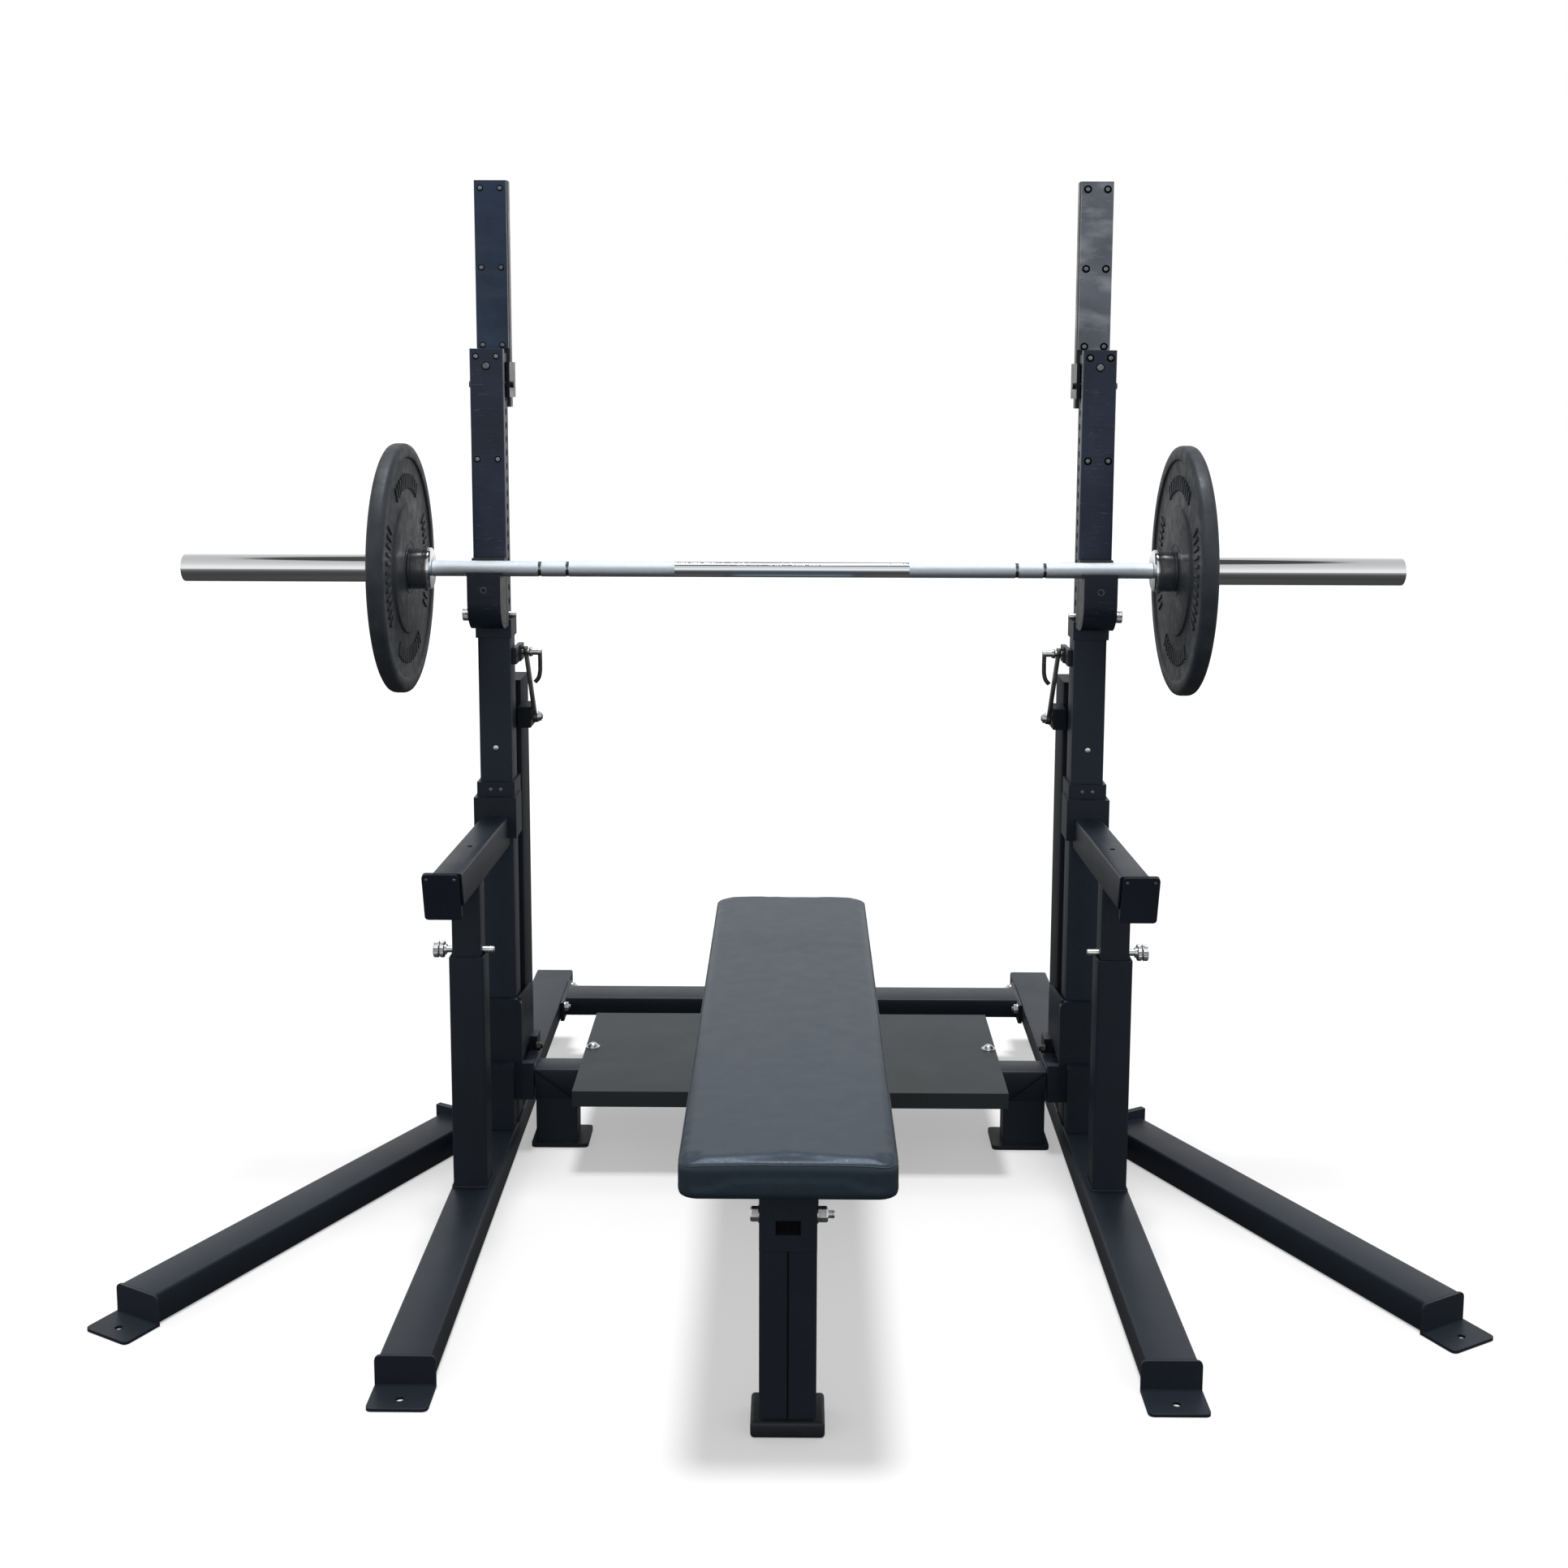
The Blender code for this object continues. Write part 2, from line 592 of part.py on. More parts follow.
def arm_plate_frame():
    """The frame of the leaning end plate, with its top edge's front line at the origin."""
    return Matrix.Translation((0, *ARM_PLATE_TOP)) @ Matrix.Rotation(ARM_PLATE_LEAN, 4, "X")


def spotter_arm(side):
    half = 0.025
    line = arm_line()
    arm = bar((-half, half), (ARM_FRONT, 0.012), ARM_Z, "y", line)
    bore = box((WALL - half, half - WALL), (ARM_FRONT, 0.0), (ARM_Z[0] + WALL, ARM_Z[1] - WALL), line)
    beyond = box((0.4, 0.7), (-0.1, ARM_PLATE_THICK / 2), (-0.2, 0.1), arm_plate_frame())
    end = front_outline(
        rounded(ARM_PLATE_X, (-ARM_PLATE_H, 0), 0.006), (0, ARM_PLATE_THICK), arm_plate_frame()
    )
    bracket = box((0.5125, 0.5915), (-0.020, 0.045), (SLEEVE_Z[0], 0.690))
    sleeve = box((0.517, 0.587), (-0.007, 0.067), SLEEVE_Z)
    socket_x = (UPRIGHT_X[0] - POST_CLEARANCE, UPRIGHT_X[1] + POST_CLEARANCE)
    socket_y = (UPRIGHT_Y[0] - POST_CLEARANCE, UPRIGHT_Y[1] + POST_CLEARANCE)
    socket = box(socket_x, socket_y, (0.5, 0.8))
    hole = rod((0.559, -0.240, 0.640), (0.559, -0.240, 0.670), 0.005)
    part(
        f"{side}_spotter_arm", arm, FRAME_PAINT,
        cut(bore), cut(beyond), add(end), add(bracket), add(sleeve), cut(socket), cut(hole), side=side,
    )


def front_posts(side):
    outer_half = POST_HALF + 0.005
    x = (FRONT_POST_X - outer_half, FRONT_POST_X + outer_half)
    y = (FRONT_POST_Y - outer_half, FRONT_POST_Y + outer_half)
    outer, outer_bore = tube(x, y, (RAIL_H + GAP, FRONT_POST_TOP), "z")
    part(f"{side}_front_post_outer", outer, FRAME_PAINT, outer_bore, side=side)
    x = (FRONT_POST_X - POST_HALF, FRONT_POST_X + POST_HALF)
    y = (FRONT_POST_Y - POST_HALF, FRONT_POST_Y + POST_HALF)
    inner, inner_bore = tube(x, y, (0.200, ARM_Z[0] - GAP), "z")
    hole = rod((0.500, FRONT_POST_Y, FRONT_PIN_Z), (0.620, FRONT_POST_Y, FRONT_PIN_Z), PIN_HOLE_R)
    part(f"{side}_front_post_inner", inner, FRAME_PAINT, inner_bore, cut(hole), side=side)


def front_pin(side):
    pin = rod((0.517, FRONT_POST_Y, FRONT_PIN_Z), (0.602, FRONT_POST_Y, FRONT_PIN_Z), PIN_R)
    knob = rod((0.600, FRONT_POST_Y, FRONT_PIN_Z), (0.6225, FRONT_POST_Y, FRONT_PIN_Z), 0.0145, sides=24)
    origin = (0.6225, FRONT_POST_Y, FRONT_PIN_Z)
    part(f"{side}_front_pin", pin, BRIGHT_STEEL, add(knob), side=side, origin=origin)


# ---------------------------------------------------------------- step

def step_side_tube(side):
    z = (STEP_TOP - STEP_RAIL_H, STEP_TOP)
    body, bore = tube(STEP_RAIL_X, STEP_RAIL_Y, z, "y")
    notch = box((0.519, 0.575), (0.0, 0.063), (0.100, 0.170))
    leg = bar((0.538, 0.568), (0.545, 0.585), (0.004, z[0] + 0.002), "z")
    foot = box((0.536, 0.590), (0.530, 0.592), (0, STEP_FOOT_THICK))
    part(f"{side}_step_side_tube", body, FRAME_PAINT, add(leg), bore, cut(notch), add(foot), side=side)


def step_front_frame():
    top = (0.094, STEP_TOP)
    body, bore = tube((-0.489, 0.489), STEP_FRONT_Y, top, "x")
    leg_y = (STEP_FRONT_Y[0] + 0.001, STEP_FRONT_Y[1] - 0.001)
    extras = []
    for sign in SIDES.values():
        leg_x = sorted((sign * 0.409, sign * 0.488))
        foot_x = sorted((sign * 0.388, sign * 0.497))
        beam_x = sorted((sign * 0.365, sign * 0.395))
        extras.append(add(bar(leg_x, leg_y, (0.004, 0.105), "z")))
        extras.append(add(plan_outline(rounded(foot_x, STEP_FOOT_Y, FOOT_R), (0, STEP_FOOT_THICK))))
        extras.append(add(box(beam_x, (STEP_FRONT_Y[1] - 0.002, 0.300), (0.124, STEP_TOP))))
    part("step_front_frame", body, FRAME_PAINT, *extras, bore)


def step_rear_crossbar():
    z = (STEP_TOP - STEP_RAIL_H, STEP_TOP)
    body, bore = tube((-0.489, 0.489), STEP_REAR_Y, z, "x")
    flanges = []
    for sign in SIDES.values():
        x = sorted((sign * 0.481, sign * 0.489))
        flanges.append(add(box(x, (0.375, 0.525), z)))
    part("step_rear_crossbar", body, FRAME_PAINT, *flanges, bore)


def step_plate():
    z = (STEP_TOP + GAP, STEP_TOP + GAP + STEP_PLATE_THICK)
    body = box((-STEP_PLATE_X, STEP_PLATE_X), STEP_PLATE_Y, z)
    front = (STEP_PLATE_Y[0], STEP_PLATE_Y[0] + STEP_PLATE_THICK)
    lip = box((-STEP_PLATE_X, STEP_PLATE_X), front, (0.127, z[1]))
    part("step_plate", body, FRAME_PAINT, add(lip))


# ---------------------------------------------------------------- bench

def bench_cushion():
    body = box((-PAD_X, PAD_X), PAD_Y, PAD_Z)
    made = part("bench_pad", body, PAD_VINYL)
    edge = made.modifiers.new("edge", "BEVEL")
    edge.width = 0.010
    edge.segments = 2
    board = box((-0.140, 0.140), (PAD_Y[0] + 0.010, PAD_Y[1] - 0.010), BOARD_Z)
    part("pad_board", board, BOARD_PAINT)


def bench_frame():
    spine, spine_bore = tube((-LEG_X, LEG_X), (LEG_Y[0], 0.170), SPINE_Z, "y")
    part("bench_spine", spine, FRAME_PAINT, spine_bore)
    leg, leg_bore = tube((-LEG_X, LEG_X), LEG_Y, (LEG_REST + GAP, SPINE_Z[0] - GAP), "z")
    head = box((-LEG_X, LEG_X), (LEG_Y[0] - HEAD_PLATE, LEG_Y[0] - GAP), (HEAD_BOTTOM, SPINE_Z[1]))
    backing_z = (HEAD_BOTTOM + 0.004, SPINE_Z[0] - 0.004)
    backing = box((0.004 - LEG_X, LEG_X - 0.004), (LEG_Y[0] - 0.001, LEG_Y[0] + 0.001), backing_z)
    window = box((-0.0175, 0.0175), (LEG_Y[0] - 0.020, LEG_Y[0] - 0.0005), (0.296, 0.317))
    bolt_hole = rod((-0.060, *BENCH_BOLT), (0.060, *BENCH_BOLT), PIN_HOLE_R)
    part("bench_front_leg", leg, FRAME_PAINT, leg_bore, add(backing), add(head), cut(window), cut(bolt_hole))
    foot = box((-LEG_FOOT_X, LEG_FOOT_X), LEG_FOOT_Y, (0, LEG_FOOT_H))
    pocket_x = (-LEG_X - GAP, LEG_X + GAP)
    pocket = box(pocket_x, (LEG_Y[0] - GAP, LEG_Y[1] + GAP), (LEG_REST, LEG_FOOT_H + REACH))
    part("bench_foot", foot, FOOT_RUBBER, cut(pocket))
    rear, rear_bore = tube((-LEG_X, LEG_X), REAR_LEG_Y, (0.006, SPINE_Z[0] - GAP), "z")
    sole = box((-0.052, 0.052), (REAR_LEG_Y[0] - 0.010, REAR_LEG_Y[1] + 0.010), (0, 0.010))
    part("bench_rear_leg", rear, FRAME_PAINT, rear_bore, add(sole))


def bench_bolt():
    shank = rod((-0.050, *BENCH_BOLT), (0.064, *BENCH_BOLT), PIN_R)
    head = rod((-0.053, *BENCH_BOLT), (-LEG_X - GAP, *BENCH_BOLT), 0.010)
    nut = rod((LEG_X + GAP, *BENCH_BOLT), (0.055, *BENCH_BOLT), 0.011, sides=6)
    part("bench_bolt", shank, BRIGHT_STEEL, add(head), add(nut))


# ---------------------------------------------------------------- barbell

def barbell_shaft():
    inner = SLEEVE_X - GAP
    tip = BAR_END - 0.0203
    half = [(0.0, tip), (SPIGOT_R, tip), (SPIGOT_R, inner), (SHAFT_R, inner)]
    other = [(radius, -height) for radius, height in reversed(half)]
    turned_part("barbell_shaft", half + other, BRIGHT_STEEL, (0, BAR_Y, BAR_Z), 24)


def barbell_sleeve(side):
    length = BAR_END - SLEEVE_X
    bore_r = SPIGOT_R + 0.0005
    profile = [(0.0, length), (SLEEVE_R - 0.0015, length), (SLEEVE_R, length - 0.0015)]
    profile += [(SLEEVE_R, SLEEVE_COLLAR_LONG), (SLEEVE_COLLAR_R, SLEEVE_COLLAR_LONG)]
    profile += [(SLEEVE_COLLAR_R, 0.0), (bore_r, 0.0), (bore_r, length - 0.020), (0.0, length - 0.020)]
    turned_part(f"{side}_sleeve", profile, BRIGHT_STEEL, (SLEEVE_X, BAR_Y, BAR_Z), 32, side)


def weight_plate(side):
    back = [(SLEEVE_R + 0.0005, 0.0), (0.116, 0.0), (0.120, 0.004), (0.198, 0.004), (0.203, 0.0)]
    back += [(PLATE_R - 0.002, 0.0), (PLATE_R, 0.002)]
    front = [(radius, PLATE_THICK - depth) for radius, depth in back]
    profile = front + back[::-1] + front[:1]
    place = (SLEEVE_X + SLEEVE_COLLAR_LONG + GAP, BAR_Y, BAR_Z)
    turned_part(f"{side}_plate", profile, CAST_PLATE, place, 40, side)


def build():
    for side in SIDES:
        base_rail(side)
        outrigger(side)
        outer_upright(side)
        upright_collar(side)
        upright_bracket(side)
        rear_column(side)
        detent_lug(side)
        lock_link(side)
        detent_pin(side)
        inner_post(side)
        hook_carrier(side)
        j_hook(side)
        hook_liner(side)
        post_extension(side)
        hook_pin(side)
        spotter_arm(side)
        front_posts(side)
        front_pin(side)
        step_side_tube(side)
        barbell_sleeve(side)
        weight_plate(side)
    step_front_frame()
    step_rear_crossbar()
    step_plate()
    bench_cushion()
    bench_frame()
    bench_bolt()
    barbell_shaft()


build()
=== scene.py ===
"""The looks of the olympic bench press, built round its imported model.

Metres, +Z up, as in the model. Places come from the model's own boxes, so each piece sits where its solid is.
"""

import json
import math

import bmesh
import bpy
from mathutils import Matrix, Vector


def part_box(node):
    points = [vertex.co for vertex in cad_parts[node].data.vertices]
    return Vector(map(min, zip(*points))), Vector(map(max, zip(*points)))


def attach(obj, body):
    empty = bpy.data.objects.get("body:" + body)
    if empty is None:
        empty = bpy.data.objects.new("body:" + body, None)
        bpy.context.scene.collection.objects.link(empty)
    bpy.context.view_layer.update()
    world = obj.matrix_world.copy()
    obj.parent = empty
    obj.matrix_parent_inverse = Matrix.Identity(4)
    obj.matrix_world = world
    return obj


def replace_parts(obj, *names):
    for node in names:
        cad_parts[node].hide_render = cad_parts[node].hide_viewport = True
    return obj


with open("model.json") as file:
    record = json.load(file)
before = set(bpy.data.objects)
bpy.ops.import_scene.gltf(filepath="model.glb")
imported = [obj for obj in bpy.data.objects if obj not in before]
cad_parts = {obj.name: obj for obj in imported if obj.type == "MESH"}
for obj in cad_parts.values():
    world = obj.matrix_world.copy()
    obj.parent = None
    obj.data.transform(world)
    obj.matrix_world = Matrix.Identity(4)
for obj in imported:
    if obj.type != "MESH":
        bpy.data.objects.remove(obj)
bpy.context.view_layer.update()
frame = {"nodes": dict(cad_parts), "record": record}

SIDES = {"left": -1, "right": 1}

# The photographer's camera
CAMERA_PLACE = (0.0076, -3.054, 1.4492)
CAMERA_PITCH = 0.1295
CAMERA_YAW = 0.0068
CAMERA_ROLL = 0.003
CAMERA_LENS = 41.0
CAMERA_SHIFT = -0.1046

# The studio: how bright it is at each height above the horizon, in degrees
SKY = (
    (-90, 0.08), (-47, 0.06), (-23, 0.09), (-7, 0.34), (-3, 1.0), (15, 1.0), (23, 0.85),
    (47, 0.66), (57, 0.62), (61, 0.08), (75, 0.08), (79, 0.80), (90, 0.90),
)
SUN_POWER = 2.4

# Tubes, edges and gaps
WALL = 0.003
CORNER_R = 0.004
EDGE_R = 0.0007
CLEAR = 0.0003
SHARP = math.radians(32)
RAIL_SECTION = (0.076, 0.050)
FLAT_SECTION = (0.080, 0.040)
POST_SECTION = (0.050, 0.050)
WELD_R = 0.0022
WELD_PITCH = 0.0018

# The barbell
BAR_STEPS = 64
PLATE_STEPS = 144
SPIGOT_R = 0.0125
SLEEVE_R = 0.025
PLATE_BORE_R = 0.0255
TOOL_PITCH = 0.0016
KNURL_PITCH = 0.0016
KNURL_START = 0.2115
MARK_PLACES = (0.405, 0.455)
MARK_WIDE = 0.0026
MARK_DEEP = 0.0010

# Posts, pins and the lock
PIN_PITCH = 0.025
PIN_COUNT = 19
PIN_HOLE_R = 0.0066
PIN_R = 0.006
PIN_TIP = [(0.0, 0.0), (0.0035, 0.0), (0.0055, 0.0015), (PIN_R, 0.004)]
HOOK_KNOB = 0.0184
FRONT_KNOB = 0.0225
GUIDE_SCREW_DROPS = (0.015, 0.157, 0.297)
BUTTON_R = 0.0056
BUTTON_RISE = 0.0014
SIGHT_HOLE_Z = 0.780
LINK_X = 0.4975
LINK_LEAN = math.radians(7.07)

# Where the frame's small fasteners and caps sit, out from the middle and up from the floor
RAIL_OUT = 0.558
STEP_TUBE_OUT = 0.5295
COLUMN_OUT = (0.520, 0.570)
FLANGE_OUT = 0.481
BRACKET_NUT = (0.498, 0.134, 0.1655)
POST_SCREW_Z = 0.380
END_PLATE_TOP = 0.653
END_PLATE_LEAN = math.radians(15.5)
ARM_SCREW_Z = 0.703
STEP_BOLT_OUT = 0.390
MITRE = ((0.4875, 0.1525), (0.4105, 0.0950))
DOME_R = 0.0105

# The bench
PAD_CORNER = 0.024
PAD_INSET = 0.0022
PAD_RISE = 0.0032
PAD_GRID = 0.006
PAD_CROWN = 0.005
SIDE_SWELL = 0.0004
TOP_SWELL = 0.0030
SEAM_DROP = 0.0085
WELT_INSET = 0.0040
WELT_PITCH = 0.010
CLOTH_FRAMES = 20
HEAD_THICK = 0.004
HEAD_BOTTOM = 0.273
RECESS_Z = (0.2965, 0.3165)


# Colours and gloss that several paints share
COAT_COLOUR = (0.0105, 0.0155, 0.0240)
COAT_GLOSS = 0.24
DUST = (0.060, 0.064, 0.070)
STRIP_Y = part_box("left_upright_collar")[0].y + 0.048


# ---------------------------------------------------------------- paint

class Paint:
    """A Principled material, and short calls for its procedural detail in object coordinates."""

    def __init__(self, name, colour, roughness, metallic=0.0, **sockets):
        self.made = bpy.data.materials.new(name)
        self.made.use_nodes = True
        self.tree = self.made.node_tree
        self.shader = self.tree.nodes["Principled BSDF"]
        self.shader.inputs["Base Color"].default_value = (*colour, 1.0)
        self.shader.inputs["Roughness"].default_value = roughness
        self.shader.inputs["Metallic"].default_value = metallic
        for socket, value in sockets.items():
            self.shader.inputs[socket.replace("_", " ")].default_value = value
        self.place = self.node("ShaderNodeTexCoord").outputs["Object"]
        self.heights = []

    def node(self, kind, **settings):
        made = self.tree.nodes.new(kind)
        for name, value in settings.items():
            setattr(made, name, value)
        return made

    def link(self, source, target):
        self.tree.links.new(source, target)

    def feed(self, socket, value):
        """Links the socket to another one, or sets it to a value."""
        if isinstance(value, bpy.types.NodeSocket):
            self.link(value, socket)
        else:
            socket.default_value = value

    def sockets(self, made, **values):
        for name, value in values.items():
            self.feed(made.inputs[name.replace("_", " ")], value)

    def axes(self):
        """The place's X, Y and Z, in metres."""
        made = self.node("ShaderNodeSeparateXYZ")
        self.link(self.place, made.inputs["Vector"])
        return made.outputs

    def stretched(self, scale, turn=(0.0, 0.0, 0.0)):
        mapping = self.node("ShaderNodeMapping")
        self.sockets(mapping, Vector=self.place, Rotation=turn, Scale=scale)
        return mapping.outputs["Vector"]

    def noise(self, scale, detail=3.0, place=None, roughness=0.55):
        made = self.node("ShaderNodeTexNoise")
        self.sockets(made, Vector=place or self.place, Scale=scale, Detail=detail, Roughness=roughness)
        return made.outputs["Fac"]

    def spread(self, source, low, high, start=0.3, end=0.7):
        made = self.node("ShaderNodeMapRange", clamp=True)
        made.inputs["From Min"].default_value = start
        made.inputs["From Max"].default_value = end
        made.inputs["To Min"].default_value = low
        made.inputs["To Max"].default_value = high
        self.link(source, made.inputs["Value"])
        return made.outputs["Result"]

    def maths(self, operation, first, second=0.0, third=0.0):
        made = self.node("ShaderNodeMath", operation=operation)
        for socket, value in zip(made.inputs, (first, second, third)):
            self.feed(socket, value)
        return made.outputs["Value"]

    def mixed(self, amount, low, high):
        """A colour from low to high, either of which may be a socket."""
        made = self.node("ShaderNodeMix", data_type="RGBA")
        self.link(amount, made.inputs["Factor"])
        for socket, value in ((made.inputs[6], low), (made.inputs[7], high)):
            self.feed(socket, (*value, 1.0) if isinstance(value, tuple) else value)
        return made.outputs[2]

    def colours(self, socket):
        self.link(socket, self.shader.inputs["Base Color"])

    def roughens(self, socket):
        self.link(socket, self.shader.inputs["Roughness"])

    def bump(self, height, distance):
        """Adds one layer of relief, distance metres deep."""
        self.heights.append(self.maths("MULTIPLY", height, distance * 1000))

    def done(self):
        if self.heights:
            total = self.heights[0]
            for more in self.heights[1:]:
                total = self.maths("ADD", total, more)
            relief = self.node("ShaderNodeBump")
            self.sockets(relief, Strength=1.0, Distance=0.001, Height=total)
            self.link(relief.outputs["Normal"], self.shader.inputs["Normal"])
        return self.made


def shades(colour, down, up):
    return tuple(part * down for part in colour), tuple(part * up for part in colour)


def powder_coat(name, colour, roughness=0.40, gloss=COAT_GLOSS):
    """Satin powder coat: fine orange peel, cloudy sheen and a little dust."""
    paint = Paint(name, colour, roughness, Specular_IOR_Level=gloss)
    low, high = shades(colour, 0.86, 1.12)
    clouds = paint.mixed(paint.spread(paint.noise(6.0, 4.0), 0.0, 1.0), low, high)
    paint.colours(paint.mixed(paint.spread(paint.noise(1100.0, 1.0), 0.0, 0.30, 0.55, 0.75), clouds, DUST))
    paint.roughens(paint.spread(paint.noise(11.0, 4.0), roughness - 0.02, roughness + 0.04))
    paint.bump(paint.noise(950.0, 2.0), 0.00010)
    paint.bump(paint.noise(260.0, 2.0), 0.00006)
    return paint


def scratches(paint, turn, across, along, where):
    """Thin lines along one direction, only in patches: 1 on a line, 0 elsewhere."""
    lines = paint.noise(1.0, 1.0, paint.stretched((along, along, across), (0.0, turn, 0.0)))
    thin = paint.spread(paint.maths("ABSOLUTE", paint.maths("SUBTRACT", lines, 0.5)), 1.0, 0.0, 0.0, 0.007)
    return paint.maths("MULTIPLY", thin, paint.spread(paint.noise(where, 2.0), 0.0, 1.0, 0.52, 0.60))


def scuffed_coat(name, colour, wear, roughness=0.36, scuff=0.0):
    """Powder coat with pale scratches and, up to scuff, pale patches on a face that a bar knocks: partly
    rubbed wear, partly painted sheen.
    """
    paint = powder_coat(name, colour, roughness)
    marks = paint.maths(
        "MAXIMUM",
        scratches(paint, 0.45, 260.0, 9.0, 17.0),
        scratches(paint, -0.75, 300.0, 12.0, 23.0),
    )
    low, high = shades(colour, 0.80, 1.25)
    base = paint.mixed(paint.spread(paint.noise(14.0, 5.0), 0.0, 1.0), low, high)
    # The pale patches are partly rubbed wear and partly painted sheen.
    if scuff:
        patches = paint.noise(11.0, 7.0, paint.stretched((1.0, 1.0, 2.4)))
        rubbed_and_sheen = paint.spread(patches, 0.0, scuff, 0.50, 0.70)
        base = paint.mixed(rubbed_and_sheen, base, wear)
        paint.roughens(paint.spread(rubbed_and_sheen, roughness, roughness - 0.14, 0.0, scuff))
    paint.colours(paint.mixed(paint.maths("MULTIPLY", marks, 0.55), base, wear))
    paint.bump(paint.maths("MULTIPLY", marks, -1.0), 0.00006)
    return paint


def guide_coat(side, colour, wear, scuff):
    """The guide post: scuffed on the strip that faces the lifter, plain behind it."""
    paint = scuffed_coat(f"{side}_guide_coat", colour, wear, 0.32, scuff)
    worn = paint.shader.inputs["Base Color"].links[0].from_socket
    depth = paint.axes()["Y"]
    behind = paint.maths("GREATER_THAN", depth, STRIP_Y + 0.0005)
    ahead = paint.maths("LESS_THAN", depth, STRIP_Y - 0.0005)
    paint.colours(paint.mixed(paint.maths("MAXIMUM", behind, ahead), worn, COAT_COLOUR))
    return paint


def moulded_black():
    """Slightly glossy moulded nylon with a fine spark texture."""
    paint = Paint("moulded_black", (0.012, 0.013, 0.016), 0.42)
    paint.roughens(paint.spread(paint.noise(60.0, 3.0), 0.36, 0.50))
    paint.bump(paint.noise(1500.0, 1.0), 0.00009)
    return paint


def zinc():
    """Zinc-plated steel with a cloudy plating."""
    paint = Paint("zinc", (0.66, 0.68, 0.70), 0.26, 1.0)
    clouds = paint.spread(paint.noise(120.0, 3.0), 0.0, 1.0)
    paint.colours(paint.mixed(clouds, (0.52, 0.54, 0.56), (0.78, 0.79, 0.80)))
    paint.roughens(paint.spread(paint.noise(300.0, 3.0), 0.20, 0.38))
    return paint


def dark_steel(name, worn, fresh):
    """Blackened steel, rubbed paler where it is handled."""
    paint = Paint(name, fresh, 0.38, 0.7)
    paint.colours(paint.mixed(paint.spread(paint.noise(70.0, 4.0), 0.0, 1.0), fresh, worn))
    paint.roughens(paint.spread(paint.noise(140.0, 2.0), 0.30, 0.50))
    return paint


def chrome():
    """Bright chrome on a turned sleeve, with faint tool marks and handling haze."""
    paint = Paint("chrome", (0.80, 0.81, 0.82), 0.10, 1.0)
    paint.roughens(paint.spread(paint.noise(45.0, 5.0, paint.stretched((6.0, 1.0, 1.0))), 0.02, 0.06))
    waves = paint.maths("SINE", paint.maths("MULTIPLY", paint.axes()["X"], 2 * math.pi / TOOL_PITCH))
    paint.bump(waves, 0.000004)
    return paint


def knurled_chrome():
    """The bar's shaft: smooth in the middle, a diamond knurl on each grip, smooth at the marks, with painted
    shade in the knurl's grooves and the marks.
    """
    paint = Paint("knurled_chrome", (0.76, 0.77, 0.79), 0.16, 1.0)
    axes = paint.axes()
    low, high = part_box("barbell_shaft")
    up = paint.maths("SUBTRACT", axes["Z"], (low.z + high.z) / 2)
    ahead = paint.maths("SUBTRACT", axes["Y"], (low.y + high.y) / 2)
    round_bar = paint.maths("MULTIPLY", paint.maths("ARCTAN2", up, ahead), (high.z - low.z) / 2)
    helix = []
    for sign in (1.0, -1.0):
        lean = paint.maths("MULTIPLY_ADD", round_bar, sign, axes["X"])
        waves = paint.maths("SINE", paint.maths("MULTIPLY", lean, math.pi / KNURL_PITCH))
        helix.append(paint.maths("ABSOLUTE", waves))
    diamonds = paint.maths("MULTIPLY", *helix)
    out = paint.maths("ABSOLUTE", axes["X"])
    knurled = paint.maths("GREATER_THAN", out, KNURL_START)
    marks = paint.maths("LESS_THAN", out, 0.0)
    for mark in MARK_PLACES:
        apart = paint.maths("ABSOLUTE", paint.maths("SUBTRACT", out, mark))
        knurled = paint.maths("MULTIPLY", knurled, paint.maths("GREATER_THAN", apart, MARK_WIDE + 0.0006))
        marks = paint.maths("MAXIMUM", marks, paint.maths("LESS_THAN", apart, MARK_WIDE - 0.0003))
    paint.bump(paint.maths("MULTIPLY", diamonds, knurled), 0.00022)
    # Painted shade: the knurl's grooves are painted darker and bluer than the smooth chrome.
    shade = paint.maths("MULTIPLY", knurled, paint.spread(diamonds, 0.55, 0.15, 0.0, 0.6))
    bright = paint.mixed(shade, (0.78, 0.82, 0.86), (0.46, 0.56, 0.68))
    # Painted shade: the marks' shallow grooves are painted dark grey for the shade inside them.
    paint.colours(paint.mixed(marks, bright, (0.16, 0.18, 0.20)))
    paint.roughens(paint.spread(knurled, 0.09, 0.44, 0.0, 1.0))
    return paint


def plate_rubber():
    """Dense black rubber with a moulded hammer finish and pale dust."""
    paint = Paint("plate_rubber", (0.030, 0.032, 0.035), 0.55, Specular_IOR_Level=0.38)
    dusty = paint.spread(paint.noise(26.0, 6.0), 0.0, 1.0, 0.35, 0.75)
    paint.colours(paint.mixed(dusty, (0.020, 0.027, 0.036), (0.042, 0.047, 0.054)))
    paint.roughens(paint.spread(paint.noise(50.0, 3.0), 0.44, 0.62))
    paint.bump(paint.noise(420.0, 2.0), 0.00022)
    paint.bump(paint.noise(1300.0, 1.0), 0.00006)
    return paint


def vinyl(name, colour, roughness):
    """Soft upholstery vinyl with a pebbled grain."""
    paint = Paint(name, colour, roughness, Specular_IOR_Level=0.76, Specular_Tint=(0.72, 0.86, 1.0, 1.0))
    low, high = shades(colour, 0.93, 1.08)
    paint.colours(paint.mixed(paint.spread(paint.noise(7.0, 4.0), 0.0, 1.0), low, high))
    pebbles = paint.node("ShaderNodeTexVoronoi", feature="DISTANCE_TO_EDGE")
    paint.sockets(pebbles, Vector=paint.place, Scale=620.0, Randomness=1.0)
    paint.bump(paint.spread(pebbles.outputs["Distance"], 0.0, 1.0, 0.0, 0.25), 0.00009)
    paint.roughens(paint.spread(paint.noise(30.0, 3.0), roughness - 0.02, roughness + 0.03))
    return paint


